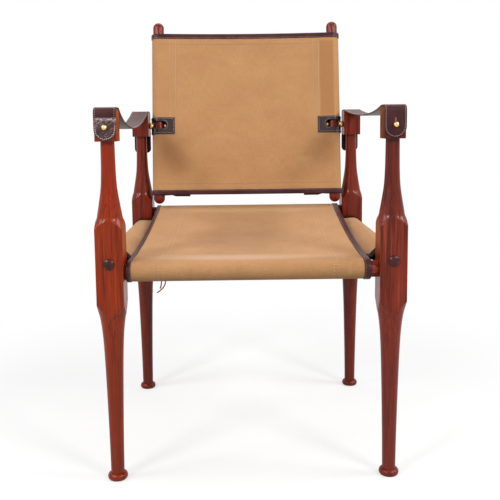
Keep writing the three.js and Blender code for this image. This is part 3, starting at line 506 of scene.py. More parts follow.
# Four round rails join the legs. Each is turned from the legs' wood with a tapered tenon on both ends.
# The front one sits lowest and the rear one highest, so that the seat's corners cross over the sides.
RAIL_EASE = 0.001
TENON_CHAMFER = 0.001
FRONT_Y, REAR_Y = middle_of("leg_front_left").y, middle_of("leg_back_left").y
HALF_X = middle_of("leg_front_right").x


def rail(reach, tip, tenon, place):
    bm = bmesh.new()
    shoulder = reach - FIT
    half = [(0, shoulder + tenon), (tip - TENON_CHAMFER, shoulder + tenon),
            (tip, shoulder + tenon - TENON_CHAMFER), (TENON_ROOT, shoulder)]
    for k in range(5):
        angle = math.pi / 2 * (1 - k / 4)
        half.append((RAIL_RADIUS - RAIL_EASE + RAIL_EASE * math.cos(angle),
                     shoulder - RAIL_EASE + RAIL_EASE * math.sin(angle)))
    profile = half + [(radius, -along) for radius, along in reversed(half)]
    spin_profile(bm, profile, 64, place)
    return bm


cross_wood = wood_material("cross rail wood", "X", RIGHT_WOOD, 0.11)
side_wood = wood_material("side rail wood", "Y", RIGHT_WOOD, 0.53)
for node, y, height in (("front_rail", FRONT_Y, "front"), ("rear_rail", REAR_Y, "back")):
    place = pointing((0, y, RAIL_HEIGHTS[height]), (1, 0, 0))
    make_piece(rail(HALF_X - LEG_SQUARE / 2, TENON_TIP, TENON_LENGTH, place), f"turned_{node}",
               cross_wood, "chair_frame", [node])
for side_name, side in (("left", -1), ("right", 1)):
    place = pointing((side * HALF_X, (FRONT_Y + REAR_Y) / 2, RAIL_HEIGHTS["side"]), (0, 1, 0))
    reach = (REAR_Y - FRONT_Y) / 2 - LEG_SQUARE / 2
    make_piece(rail(reach, SIDE_TENON_TIP, SIDE_TENON_LENGTH, place), f"turned_side_rail_{side_name}",
               side_wood, "chair_frame", [f"side_rail_{side_name}"])

# A bolt through each leg's square draws the side rail in. Its head is a low dome of dark bronzed
# steel on the leg's outer face.
BOLT_HEAD, BOLT_DOME, BOLT_LIP, BOLT_SHANK = 0.0095, 0.0042, 0.0008, 0.0035


def bronzed_material():
    material, root, shader = new_material("bronzed steel", Coat_Roughness=0.14, Specular_IOR_Level=0.2)
    place = root.node("TexCoord", output=3)
    blotches = place.noise(160, 3)
    rub_and_highlight = place.noise(700, 3)
    colour = blotches.between(0.35, 0.65).mix(paint(52, 18, 14), paint(78, 32, 26))
    feed(shader, Base_Color=colour, Metallic=0.2 + blotches * 0.2, Roughness=0.24 + rub_and_highlight * 0.2,
         Coat_Weight=0.2 + blotches * 0.15, height=(rub_and_highlight, 0.00004))
    return material


bronzed = bronzed_material()
shank = LEG_SQUARE - SIDE_TENON_LENGTH + 0.022
dome = [(BOLT_HEAD * math.cos(k * math.pi / 32), BOLT_LIP + BOLT_DOME * math.sin(k * math.pi / 32))
        for k in range(16, -1, -1)]
dome[0] = (0, BOLT_LIP + BOLT_DOME)
bolt_profile = [(r, FIT + h) for r, h in dome] + [
    (BOLT_HEAD, FIT + 0.0002), (BOLT_HEAD - 0.0002, FIT),
    (BOLT_SHANK, FIT), (BOLT_SHANK, -shank), (0, -shank),
]
for end_name, end, y in (("front", -1, FRONT_Y), ("back", 1, REAR_Y)):
    for side_name, side in (("left", -1), ("right", 1)):
        bm = bmesh.new()
        seat = (side * HALF_X, y + end * LEG_SQUARE / 2, RAIL_HEIGHTS["side"])
        spin_profile(bm, bolt_profile, 48, pointing(seat, (0, end, 0)))
        make_piece(bm, f"domed_bolt_{end_name}_{side_name}", bronzed, "chair_frame",
                   [f"side_rail_bolt_{end_name}_{side_name}"])

# The lower sling of the seat is heavy cotton canvas. It runs from side rail to side rail in two
# sewn sleeves, under the top sling, and a folded leather strip binds its front and rear edges. The
# strips are coloured near black as painted shade, and the front one is widened into the shade
# under the seat.
CANVAS = 0.0016
WRAP_EASE = 0.0008
LEATHER = 0.0012
EDGE_PITCH = 0.0036
CANVAS_PITCH = 0.0056
SEAT_SAG = 0.011
LOWER_SAG = 0.010
SLING_RADIUS = (RAIL_RADIUS + WRAP_EASE) / math.cos(math.pi / 16) + CANVAS / 2
SLEEVE_EASE = math.cos(math.radians(14.0625))
SEAT_SIDE_INSET = 0.034
SEAT_HALF = HALF_X - SEAT_SIDE_INSET
SEAT_DEPTH = REAR_Y - FRONT_Y


def canvas_material(name, seams=(), pull=1, band=None, spots=(), folds=0):
    """Plain-woven canvas. The weave follows the cloth's own UV map, which is in metres. Each seam is
    a shallow groove, darkened with painted shade: the axis it crosses, its place there and where it
    starts and ends. pull is how deep the stitches pull it in. band (x, y, low, high) is darker: past x,
    between two levels. Each spot is a place on the map, its half length and half width, a share and
    whether it is a painted highlight or darker. folds is how high the soft folds of use stand, in
    millimetres."""
    material, root, shader = new_material(name, Specular_IOR_Level=0.12, Sheen_Weight=0.1,
                                          Sheen_Roughness=0.5)
    cloth = root.node("UVMap")
    place = root.node("TexCoord", output=3)
    warp = cloth.part("X") * (math.tau / 0.0011)
    weft = cloth.part("Y") * (math.tau / 0.0011)
    weave = warp.maths("SINE", warp) * weft.maths("SINE", weft)
    slubs = cloth.noise(1, 3, 0.6, (620, 60, 1))
    slubs_across = cloth.noise(1, 3, 0.6, (60, 620, 1))
    clouds = place.noise(14, 4, 0.6)
    specks = place.noise(420, 2, 0.7)
    colour = clouds.between(0.25, 0.75).mix(paint(188, 139, 94), paint(196, 148, 102))
    colour = (slubs.between(0.45, 0.75) * 0.5).mix(colour, paint(174, 124, 80))
    colour = (slubs_across.between(0.5, 0.8) * 0.45).mix(colour, paint(208, 162, 116))
    colour = (specks.between(0.5, 0.8) * 0.4).mix(colour, paint(164, 114, 72))
    height = weave * 0.2 + slubs * 0.45 + slubs_across * 0.45
    # Each spot paints its colour in: the pale kind is a painted highlight; the dark kinds are described where
    # they are given.
    for x, y, long, wide, share, tone in spots:
        over = (cloth.part("X") - x) * (1 / long)
        along = (cloth.part("Y") - y) * (1 / wide)
        away = (over * over + along * along) ** 0.5 + clouds * 0.5 - 0.25
        there = (1 - away.between(0.15, 1)) * share
        colour = there.mix(colour, paint(228, 192, 160) if tone == "rub_and_highlight" else paint(118, 76, 44))
    if folds:
        height = height + cloth.noise(1, 2, 0.45, (9, 17, 1), 0.6) * (folds * 2.5)
    if band:
        start, end, low, high = band
        over, level = cloth.part("X"), cloth.part("Y")
        there = over.between(start, start + 0.003) * (1 - over.between(end - 0.004, end))
        there = there * level.between(low, low + 0.006) * (1 - level.between(high - 0.006, high))
        colour = (there * (0.45 + clouds * 0.2)).mix(colour, paint(164, 110, 66))
    for axis, middle, start, end in seams:
        over, along = cloth.part(axis), cloth.part("XY"[axis == "X"])
        off = over.maths("ABSOLUTE", over - middle)
        inside = along.between(start - 0.001, start) * (1 - along.between(end, end + 0.001)) * pull
        groove = (1 - off.between(0.0002, 0.0022)) * inside
        # Painted shade: the canvas is darkened along the groove the stitches pull in.
        colour = (groove * 0.4).mix(colour, paint(142, 96, 60))
        height = height - groove * 0.9
    feed(shader, Base_Color=colour, Roughness=0.82 + specks * 0.12, height=(height, 0.0004))
    return material


def leather_material(name, worn_and_highlit=None, slit=None, tint=1, wax=0.1, crease=0.3, polish=0.12):
    """Dark brown bridle leather, waxed, with a fine pebbled grain. Worn leather is wrinkled and
    shinier below this height, in front of the legs, and there its colour carries painted shade along the
    wrinkles, painted pale glints and a painted highlight band under the top. A slit (x, low, high) gets a
    pale line painted along it.
    tint is how light the brown is, crease how deep the creases are and polish how glossy they are."""
    material, root, shader = new_material(name, Coat_Roughness=0.22, Specular_IOR_Level=polish)
    place = root.node("TexCoord", output=3)
    pebbles = place.node("TexVoronoi", {"Vector": place, "Scale": 1100})
    creases = place.noise(75, 4, 0.6, (1, 1, 0.6))
    hide = place.noise(22, 3)
    colour = hide.between(0.3, 0.7).mix(paint(58 * tint, 26 * tint, 28 * tint),
                                        paint(78 * tint, 40 * tint, 40 * tint))
    colour = (creases.between(0.55, 0.75) * 0.5).mix(colour, paint(38 * tint, 16 * tint, 18 * tint))
    height = pebbles * 0.12 + creases * crease
    rough = 0.43 - polish * 0.28 + pebbles * 0.12 + hide * 0.08
    wax = hide * wax + wax
    if crease > 1:
        height = height + place.noise(180, 3, 0.6) * (crease * 0.3)
    if worn_and_highlit:
        here = 1 - place.part("Z").between(worn_and_highlit - 0.004, worn_and_highlit)
        here = here * (1 - place.part("Y").between(-0.258, -0.256))
        slanted = place.node("Mapping", {0: place, 2: (0, math.radians(28), 0)})
        wrinkles = slanted.noise(120, 4, 0.6, (0.45, 1, 1.7), 0.7)
        rub_and_highlight = slanted.noise(330, 3, 0.6, (0.5, 1, 1.3))
        height = height + here * (wrinkles * 18 + rub_and_highlight * 6)
        wax = wax + here * 0.5
        # Pale scuffs on the wrinkles, which are painted glints as well as wear.
        scuffs_and_glints = (1 - (wrinkles * 0.6 + rub_and_highlight * 0.4).between(0.38, 0.5)) * here
        scuffs_and_glints = scuffs_and_glints * (0.35 + place.part("Z").between(worn_and_highlit - 0.016, worn_and_highlit - 0.002) * 0.5)
        # Painted shade: the wrinkles' lines are darkened.
        colour = (here * wrinkles.between(0.52, 0.6) * 0.7).mix(colour, paint(30, 12, 14))
        colour = scuffs_and_glints.mix(colour, paint(196, 176, 172))
        # A painted highlight band just under the top of the strap's face.
        painted_top_highlight = here * place.part("Z").between(worn_and_highlit - 0.009, worn_and_highlit - 0.004)
        painted_top_highlight = painted_top_highlight * (1 - rub_and_highlight.between(0.42, 0.62))
        colour = (painted_top_highlight * 0.75).mix(colour, paint(214, 200, 198))
    # A pale line is painted along the slit on the strap's face.
    if slit:
        x, low, high = slit
        off = place.part("X") - x
        near = 1 - off.maths("ABSOLUTE", off).between(0.0008, 0.0012)
        level = place.part("Z")
        near = near * level.between(low - 0.0004, low) * (1 - level.between(high, high + 0.0004))
        colour = (near * 0.8).mix(colour, paint(188, 160, 150))
    feed(shader, Base_Color=colour, Roughness=rough, Coat_Weight=wax, height=(height, 0.00025))
    return material


def thread_material(name, dark, light, clean_below=None):
    """Twisted waxed thread, which is dirtier above a height where hands touch it."""
    material, root, shader = new_material(name, Specular_IOR_Level=0.3)
    place = root.node("TexCoord", output=3)
    twist = place.noise(1500, 2)
    colour = twist.between(0.35, 0.65).mix(dark, light)
    if clean_below:
        darkened = place.part("Z").between(clean_below - 0.006, clean_below + 0.006) * 0.75
        colour = darkened.mix(colour, paint(98, 76, 76))
    feed(shader, Base_Color=colour, Roughness=0.6 + twist * 0.2, height=(twist, 0.0001))
    return material


canvas = canvas_material("tan canvas")
leather = leather_material("brown bridle leather")
# Leather for the lower sling's bindings, coloured near black as painted shade.
black_leather_as_shade = leather_material("shade_blackened leather", tint=0.25, wax=0, polish=0.05)
tan_thread = thread_material("tan thread", paint(206, 174, 134), paint(236, 208, 170))
grey_thread = thread_material("grey thread", paint(150, 134, 132), paint(196, 182, 178))
white_thread = thread_material("white thread", paint(212, 202, 198), paint(240, 234, 230), 0.636)


class Cloth:
    """The middle surface of a hung cloth as rows of points. Its outer side is along x across."""

    def __init__(self, rows):
        self.rows = rows
        middle = len(rows[0]) // 2
        self.along = self.distances([row[middle] for row in rows])
        self.across = self.distances(rows[len(rows) // 2])

    @staticmethod
    def distances(points):
        out = [0]
        for a, b in zip(points, points[1:]):
            out.append(out[-1] + (b - a).length)
        return out

    def point(self, a, b):
        """The point at a fraction of rows and columns."""
        i, j = min(int(a), len(self.rows) - 2), min(int(b), len(self.rows[0]) - 2)
        near = self.rows[i][j].lerp(self.rows[i][j + 1], b - j)
        return near.lerp(self.rows[i + 1][j].lerp(self.rows[i + 1][j + 1], b - j), a - i)

    def spot(self, along, across):
        """The point, outward normal and two directions at distances along and across the cloth."""
        a = float(np.interp(along, self.along, range(len(self.along))))
        b = float(np.interp(across, self.across, range(len(self.across))))
        last_a, last_b = len(self.rows) - 1, len(self.rows[0]) - 1
        down = self.point(min(a + 0.5, last_a), b) - self.point(max(a - 0.5, 0), b)
        over = self.point(a, min(b + 0.5, last_b)) - self.point(a, max(b - 0.5, 0))
        return self.point(a, b), down.cross(over).normalized(), down.normalized(), over.normalized()


def grid_mesh(columns, rows, place, flat):
    """A grid of quads: place gives the point of a corner and flat its UV, in metres of cloth."""
    bm = bmesh.new()
    bmesh.ops.create_grid(bm, x_segments=columns, y_segments=rows, size=1)
    spots = {v: (round((v.co.x + 1) / 2 * columns), round((v.co.y + 1) / 2 * rows)) for v in bm.verts}
    uv = bm.loops.layers.uv.verify()
    for face in bm.faces:
        for loop in face.loops:
            loop[uv].uv = flat(*spots[loop.vert])
    for v, spot in spots.items():
        v.co = place(*spot)
    return bm


def cloth_mesh(cloth):
    return grid_mesh(len(cloth.rows) - 1, len(cloth.rows[0]) - 1, lambda i, j: cloth.rows[i][j],
                     lambda i, j: (cloth.along[i], cloth.across[j]))


def settle(cloth, held, slack, weight, sink, rise, seed):
    """Lets the cloth settle where it isn't held, with a little slack in it and a share of its
    weight. It sinks and rises off its own plane by no more than these distances."""
    bm = cloth_mesh(cloth)
    bm.verts.ensure_lookup_table()
    index = {}
    for v in bm.verts:
        index[tuple(round(c, 6) for c in v.co)] = v.index
    mesh = bpy.data.meshes.new("settling")
    bm.to_mesh(mesh)
    bm.free()
    work = bpy.data.objects.new("settling", mesh)
    bpy.context.scene.collection.objects.link(work)
    group = work.vertex_groups.new(name="held")
    lookup = {}
    chance = np.random.default_rng(seed)
    for i, row in enumerate(cloth.rows):
        for j, point in enumerate(row):
            k = index[tuple(round(c, 6) for c in point)]
            lookup[i, j] = k
            hold = held(i, j)
            group.add([k], hold, "REPLACE")
            if hold < 1:
                mesh.vertices[k].co.z += float(chance.uniform(-0.00035, 0.00035))
    soft = work.modifiers.new("cloth", "CLOTH")
    soft.settings.quality = 8
    soft.settings.mass = 0.25
    soft.settings.tension_stiffness = soft.settings.compression_stiffness = 40
    soft.settings.shear_stiffness = 12
    soft.settings.bending_stiffness = 1.5
    soft.settings.vertex_group_mass = "held"
    soft.settings.shrink_min = soft.settings.shrink_max = -slack
    soft.settings.effector_weights.gravity = weight
    soft.collision_settings.use_collision = False
    soft.point_cache.frame_end = 30
    for step in range(1, 31):
        bpy.context.scene.frame_set(step)
    settled = work.evaluated_get(bpy.context.evaluated_depsgraph_get()).data
    rows = []
    for i, row in enumerate(cloth.rows):
        rows.append([])
        for j, point in enumerate(row):
            move = settled.vertices[lookup[i, j]].co - point
            _, normal, _, _ = cloth.spot(cloth.along[i], cloth.across[j])
            off = move.dot(normal)
            slide = move - normal * off
            if slide.length > rise:
                slide = slide.normalized() * rise
            rows[-1].append(point + slide + normal * min(max(off, -sink), rise))
    bpy.context.scene.frame_set(1)
    bpy.data.objects.remove(work)
    bpy.data.meshes.remove(mesh)
    return Cloth(rows)


def hang_cloth(name, cloth, body, nodes, trim=None, material=canvas):
    """The cloth as a piece with its thickness."""
    bm = cloth_mesh(cloth)
    if trim:
        trim(bm)
    bmesh.ops.remove_doubles(bm, verts=bm.verts, dist=2e-6)
    mesh = bpy.data.meshes.new(name)
    bm.to_mesh(mesh)
    bm.free()
    mesh.shade_smooth()
    mesh.materials.append(material)
    made = bpy.data.objects.new(name, mesh)
    bpy.context.scene.collection.objects.link(made)
    thick = made.modifiers.new("thickness", "SOLIDIFY")
    thick.thickness = CANVAS
    thick.offset = 0
    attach(made, body)
    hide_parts(*nodes)
    return made


def binding(cloth, high, width, body, name, nodes, hide=leather):
    """A leather strip folded over one long edge of a cloth."""
    face, nose = CANVAS / 2 + 0.00005, 0.0016
    outer, inner = face + LEATHER, face + 0.0006
    section = [(width, face), (width, outer - 0.0003), (width - 0.0003, outer)]
    section += [(width * 0.6, outer + 0.0001), (width * 0.3, outer + 0.0001)]
    for k in range(7):
        angle = math.pi / 2 + math.pi * k / 6
        reach = outer if k <= 3 else inner
        section.append((nose * math.cos(angle), reach * math.sin(angle)))
    section += [(width - 0.0003, -inner), (width, -inner + 0.0002), (width, -face), (0.0001, -face),
                (0.0001, face)]
    stations = [cloth.spot(s, cloth.across[-1] if high else 0) for s in cloth.along]
    sign = -1 if high else 1

    def place(i, j):
        point, normal, _, over = stations[i]
        inward, lift = section[j % len(section)]
        foot = cloth.spot(cloth.along[i], cloth.across[-1] - max(inward, 0) if high else max(inward, 0))
        return foot[0] + over * (sign * min(inward, 0)) + foot[1] * lift

    bm = grid_mesh(len(stations) - 1, len(section), place, lambda i, j: (cloth.along[i], j * 0.001))
    bmesh.ops.remove_doubles(bm, verts=bm.verts, dist=2e-6)
    bmesh.ops.holes_fill(bm, edges=[e for e in bm.edges if e.is_boundary], sides=0)
    return make_piece(bm, name, hide, body, nodes, 40)


def stitch(bm, point, normal, direction, length, width=0.0007, proud=0.0004):
    """One stitch: a small bead that lies on the surface."""
    side = normal.cross(direction).normalized()
    turn = Matrix((direction * (length / 2), side * (width / 2), normal * proud)).transposed().to_4x4()
    bmesh.ops.create_icosphere(bm, subdivisions=1, radius=1, matrix=Matrix.Translation(point) @ turn)


def sew(bm, cloth, start, end, pitch, lift, **sizes):
    """A row of stitches between two places on a cloth, each (along, across) in metres."""
    start, end = Vector(start), Vector(end)
    count = round((end - start).length / pitch)
    for k in range(count):
        here = start.lerp(end, (k + 0.5) / count)
        ahead = start.lerp(end, (k + 0.6) / count)
        point, normal, _, _ = cloth.spot(*here)
        direction = (cloth.spot(*ahead)[0] - point).normalized()
        stitch(bm, point + normal * lift, normal, direction, pitch * 0.62, **sizes)


def arc_points(a, b, radius, start, end, steps):
    angles = [start + (end - start) * k / steps for k in range(steps + 1)]
    return [(a + radius * math.cos(t), b + radius * math.sin(t)) for t in angles]


def sleeve(bar_a, radius, panel, leave, seam, flap_end, steps=20):
    """Half of a cloth's outline: the panel, its sleeve round a bar and the flap sewn on behind."""
    def tangent(point, sign):
        reach = math.hypot(point[0] - bar_a, point[1])
        return math.atan2(point[1], point[0] - bar_a) + sign * math.acos(radius / reach)
    top = tangent(leave, -1) % math.tau
    bottom = tangent(seam, 1)
    if bottom > 0:
        bottom -= math.tau
    return [*panel, leave, *arc_points(bar_a, 0, radius, top, bottom, steps), seam, *flap_end]


def both_halves(half):
    return [(-a, b) for a, b in reversed(half[1:])] + list(half)


def seat_top_height(y):
    """The height of the top sling's edges over the floor, y behind the front rail."""
    share = y / SEAT_DEPTH
    front, back = RAIL_HEIGHTS["front"], RAIL_HEIGHTS["back"]
    return front + SLING_RADIUS + (back - front) * share - 4 * SEAT_SAG * share * (1 - share)


def seat_hollow(x, y):
    across = min(abs(x) / (SEAT_HALF - 0.020), 1)
    return 0.005 * (1 - across ** 2) ** 2 * math.sin(math.pi * min(max(y / SEAT_DEPTH, 0), 1))


LOWER_FRONT, LOWER_REAR = LEG_SQUARE / 2 + 0.009, SEAT_DEPTH - LEG_SQUARE / 2 - 0.003
rail_wrap = (RAIL_RADIUS + WRAP_EASE) / SLEEVE_EASE + CANVAS / 2
flap_step = CANVAS + 3 * FIT
sling_step = CANVAS + LEATHER + 2 * FIT


def lower_outline(y):
    """The lower sling's outline across the chair, at a distance behind the front rail."""
    side_height = RAIL_HEIGHTS["side"]
    share = min(max((y - LOWER_FRONT) / (LOWER_REAR - LOWER_FRONT), 0), 1)

    def at(x, drop=0):
        free = side_height + rail_wrap - LOWER_SAG * math.sin(math.pi * share)
        ceiling = seat_top_height(y) - seat_hollow(x, y) - sling_step
        return x, min(free, ceiling) - side_height - drop

    leave = HALF_X - 0.027
    shares = [k / 24 for k in range(24)]
    panel = [at(share * leave) for share in shares]
    half = sleeve(HALF_X, rail_wrap, panel, at(leave), at(leave, flap_step),
                  [at(leave - 0.050 * k / 4, flap_step) for k in range(1, 5)])
    return [Vector((a, FRONT_Y + y, side_height + b)) for a, b in both_halves(half)]


depths = [LOWER_FRONT + (LOWER_REAR - LOWER_FRONT) * k / 56 for k in range(57)]
lower_cloth = Cloth([list(row) for row in zip(*[lower_outline(y) for y in depths])])
lower_middle = lower_cloth.along[-1] / 2
# Painted shade on the lower sling, darker next to the top sling's side edges, where it lies in their shade.
shade_beside_seat = [(lower_middle + side * (SEAT_HALF - 0.004), 0.18, 0.034, 0.40, 0.6, "darkened")
               for side in (-1, 1)]
hang_cloth("lower_sling_canvas", lower_cloth, "chair_frame", ["seat_lower_sling"],
           material=canvas_material("lower canvas", spots=shade_beside_seat))
# The front binding is widened to fill the shade under the top sling's front roll.
for end_name, high, width in (("front", False, 0.024), ("rear", True, 0.012)):
    binding(lower_cloth, high, width, "chair_frame", f"lower_sling_edge_{end_name}",
            [f"lower_sling_binding_{end_name}"], black_leather_as_shade)

# The top sling of the seat is canvas too. It runs over the front and rear rails, back under them, and
# is laced tight below. A folded leather strip binds each side edge, and faint rows of stitches run
# from front to rear.
SLING_STEPS = 92
LACE_FRONT, LACE_REAR = 0.130, 0.300


def under_seat(y):
    """The height of the sling's lower run, y behind the front rail."""
    slope = math.atan2(RAIL_HEIGHTS["back"] - RAIL_HEIGHTS["front"], SEAT_DEPTH)
    return RAIL_HEIGHTS["front"] + y * math.tan(slope) - SLING_RADIUS / math.cos(slope)


def seat_outline():
    """The top sling's outline from its rear lace edge, round both rails, to its front lace edge.
    Each point is (y, height, whether it lies on top)."""
    front, back = RAIL_HEIGHTS["front"], RAIL_HEIGHTS["back"]
    slope = math.atan2(back - front, SEAT_DEPTH)
    sag = 4 * SEAT_SAG / SEAT_DEPTH
    meet = math.pi / 2 + math.atan(math.tan(slope) + sag)
    leave = math.pi / 2 + math.atan(math.tan(slope) - sag)

    def under(y):
        return y, under_seat(y), False

    out = [under(LACE_REAR + (SEAT_DEPTH - LACE_REAR) * k / 16) for k in range(16)]
    round_rear = arc_points(SEAT_DEPTH, back, SLING_RADIUS, slope - math.pi / 2, meet, 20)
    out += [(a, b, False) for a, b in round_rear]
    top = [SEAT_DEPTH * (1 - k / SLING_STEPS) for k in range(2, SLING_STEPS)]
    out += [(y, seat_top_height(y), True) for y in top if y < SEAT_DEPTH - 0.005]
    turns = arc_points(0, front, SLING_RADIUS, leave, slope + 1.5 * math.pi, 20)
    out += [(a, b, False) for a, b in turns]
    return out + [under(LACE_FRONT * k / 13) for k in range(1, 14)]


def seat_shift(y):
    return -0.005 + 0.006 * min(max(y / SEAT_DEPTH, 0), 1)


seat_line = seat_outline()
SEAT_COLUMNS = 78
rows = []
for y, height, on_top in seat_line:
    rows.append([])
    for j in range(SEAT_COLUMNS + 1):
        x = SEAT_HALF * (2 * j / SEAT_COLUMNS - 1)
        drop = seat_hollow(x, y) if on_top else 0
        rows[-1].append(Vector((x + seat_shift(y), FRONT_Y + y, height - drop)))
top_rows = [i for i, line in enumerate(seat_line) if line[2]]


def seat_held(i, j):
    """The top sling is held on the rails and free between them."""
    inside = min(i - top_rows[0], top_rows[-1] - i)
    return 1 if inside < 0 else max(0, 1 - inside / 4)


seat_cloth = settle(Cloth(rows), seat_held, 0.0016, 0.1, 0.0003, 0.0022, 7)
seat_rows = [0.056, 0.064, seat_cloth.across[-1] - 0.064, seat_cloth.across[-1] - 0.056]
seat_seams = [("Y", across, 0.02, seat_cloth.along[-1] - 0.02) for across in seat_rows]
# Painted highlight: a pale band along the crest of the front roll. The middle of the seat's top is painted
# darker.
hang_cloth("top_sling_canvas", seat_cloth, "chair_frame", ["seat_top_sling"],
           material=canvas_material("seat canvas", seat_seams, 0.5, folds=9, spots=[
               (0.635, 0.19, 0.042, 0.22, 0.55, "rub_and_highlight"), (0.48, 0.19, 0.14, 0.2, 0.26, "darkened")]))
binding(seat_cloth, False, 0.0065, "chair_frame", "seat_edge_left", ["seat_binding_left"])
binding(seat_cloth, True, 0.0105, "chair_frame", "seat_edge_right", ["seat_binding_right"])

# A round waxed lace draws the top sling's two edges together under the seat. It zigzags through six
# sewn eyelets on each edge, from a knot at the front left to a stopper knot at the rear.
EYELETS = 6
EYELET_INSET = 0.010
EYELET_FROM_EDGE = 0.041
LACE_TURN = 0.0034
eyelet_pitch = 2 * (SEAT_HALF - EYELET_FROM_EDGE) / (EYELETS - 0.5)
eyelet_rows = {
    "front": (EYELET_FROM_EDGE - SEAT_HALF, LACE_FRONT - EYELET_INSET, 1),
    "rear": (EYELET_FROM_EDGE - SEAT_HALF + eyelet_pitch / 2, LACE_REAR + EYELET_INSET, -1),
}


def lace_places(k, row):
    x, y, inwards = eyelet_rows[row]

    def place(over, off, level):
        deep = y + inwards * off
        return Vector((x + k * eyelet_pitch + over, FRONT_Y + deep, under_seat(deep) + level * LACE_TURN))

    return {
        "edge": lambda level, lean: place(lean * LACE_TURN, EYELET_INSET + LACE_TURN, level),
        "beside": lambda level: place(0, LACE_TURN, level),
        "hole": place(0, 0, 0),
        "under": place(0, 0, -1),
    }


route = []
for k in range(EYELETS):
    near, far = lace_places(k, "front"), lace_places(k, "rear")
    route += [near["under"]] if k == 0 else [near["edge"](-1, -1), near["beside"](-1)]
    route += [near["hole"], near["beside"](1), near["edge"](1, 1)]
    if k == EYELETS - 1:
        route += [far["edge"](1, -1), far["beside"](1), far["hole"], far["under"]]
    else:
        route += [far["edge"](-1, -1), far["beside"](-1), far["hole"], far["beside"](1), far["edge"](1, 1)]
fine = []
for a, b in zip(route, route[1:]):
    pieces = max(2, round((b - a).length / 0.002))
    fine += [a.lerp(b, n / pieces) for n in range(pieces)]
fine.append(route[-1])
for _ in range(2):
    fine = [fine[0]] + [(a + b * 2 + c) / 4 for a, b, c in zip(fine, fine[1:], fine[2:])] + [fine[-1]]
zigzag = round_cord("lace_zigzag", fine)
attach(zigzag, "chair_frame")
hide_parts("seat_lace")


def overhand_knot(name, node):
    """A small tight knot: three turns of the lace pulled into a lump."""
    low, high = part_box(node)
    middle = (Vector(low) + Vector(high)) / 2
    wide, tall = (high[0] - low[0]) / 2, (high[2] - low[2]) / 2
    turns = []
    for k in range(73):
        t = k / 72 * math.tau * 3
        out = (wide - LACE_THICK / 2) * (0.72 + 0.28 * math.cos(t * 2 / 3))
        turns.append(middle + Vector((out * math.cos(t), out * math.sin(t),
                                      (tall - LACE_THICK / 2) * math.sin(t * 2 / 3))))
    knot = round_cord(name, turns)
    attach(knot, "chair_frame")
    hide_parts(node)


overhand_knot("front_knot_turns", "lace_knot_front")
overhand_knot("rear_knot_turns", "lace_knot_rear")

bm = bmesh.new()
for row in eyelet_rows:
    for k in range(EYELETS):
        middle = lace_places(k, row)["hole"]
        ring = [(0.0028 + 0.0006 * math.cos(n * math.tau / 8), 0.0011 * math.sin(n * math.tau / 8))
                for n in range(8)]
        spin_profile(bm, ring + [ring[0]], 20, Matrix.Translation(middle))
make_piece(bm, "sewn_eyelets", tan_thread, "chair_frame", [])

# Each arm is a strap of thick bridle leather. It lies over both caps, hangs loosely between them and
# buttons through a slit onto a stud at each end. A row of stitches follows its edge.
STRAP_WIDTH, STRAP_THICK = 0.0385, 0.003
STRAP_FRONT_BOTTOM, STRAP_REAR_BOTTOM, STRAP_CORNER = CAP_BOTTOM + 0.0015, CAP_BOTTOM - 0.039, 0.010
strap_sags = {"left": 0.035, "right": 0.014}


def strap_line(sag):
    """The strap's middle line from its front end to its rear one, as (y, height)."""
    lift = FIT + STRAP_THICK / 2
    bend = CAP_ROUND + lift
    inset = CAP_WIDTH / 2 - CAP_ROUND
    crown = CAP_BOTTOM + CAP_HEIGHT - CAP_ROUND
    span = SEAT_DEPTH - 2 * inset
    drop = sag / 0.75
    front_turn, rear_turn = math.atan(drop / (0.2 * span)), math.atan(drop / (0.35 * span))
    leave = arc_points(inset, crown, bend, math.pi / 2, math.pi / 2 - front_turn, 6)
    meet = arc_points(SEAT_DEPTH - inset, crown, bend, math.pi / 2 + rear_turn, math.pi / 2, 6)
    a, d = Vector(leave[-1]), Vector(meet[0])
    b, c = a + Vector((0.2 * span, -drop)), d + Vector((-0.35 * span, -drop))
    hang = []
    for k in range(1, 60):
        t = k / 60
        hang.append(tuple(a * (1 - t) ** 3 + b * (3 * t * (1 - t) ** 2)
                          + c * (3 * t * t * (1 - t)) + d * t ** 3))
    front = [(-CAP_WIDTH / 2 - lift, STRAP_FRONT_BOTTOM + (crown - STRAP_FRONT_BOTTOM) * k / 16)
             for k in range(16)]
    rear = [(SEAT_DEPTH + CAP_WIDTH / 2 + lift, crown + (STRAP_REAR_BOTTOM - crown) * k / 20)
            for k in range(1, 21)]
    line = front + arc_points(-inset, crown, bend, math.pi, math.pi / 2, 14)
    line += leave + hang + meet + arc_points(SEAT_DEPTH + inset, crown, bend, math.pi / 2, 0, 14) + rear
    return [Vector((0, FRONT_Y + y, height)) for y, height in line]


class Strap:
    """A strap laid out flat: distances along and across it give a place on its outer side."""

    def __init__(self, x, sag):
        self.x = x
        self.line = strap_line(sag)
        self.along = Cloth.distances(self.line)
        self.length = self.along[-1]

    def frame(self, s):
        a = float(np.interp(s, self.along, range(len(self.along))))
        i = min(int(a), len(self.line) - 2)
        before, after = self.line[max(i - 1, 0)], self.line[min(i + 2, len(self.line) - 1)]
        forward = (after - before).normalized()
        return self.line[i].lerp(self.line[i + 1], a - i), forward, Vector((1, 0, 0)).cross(forward)

    def at(self, s, v, height):
        point, _, normal = self.frame(s)
        return point + Vector((self.x + v, 0, 0)) + normal * height

    def half_width(self, s):
        half = STRAP_WIDTH / 2
        from_rear = self.length - s
        if s < half:
            return math.sqrt(max(half ** 2 - (half - s) ** 2, 0))
        if from_rear < STRAP_CORNER:
            rounding = STRAP_CORNER ** 2 - (STRAP_CORNER - from_rear) ** 2
            return half - STRAP_CORNER + math.sqrt(max(rounding, 0))
        return half


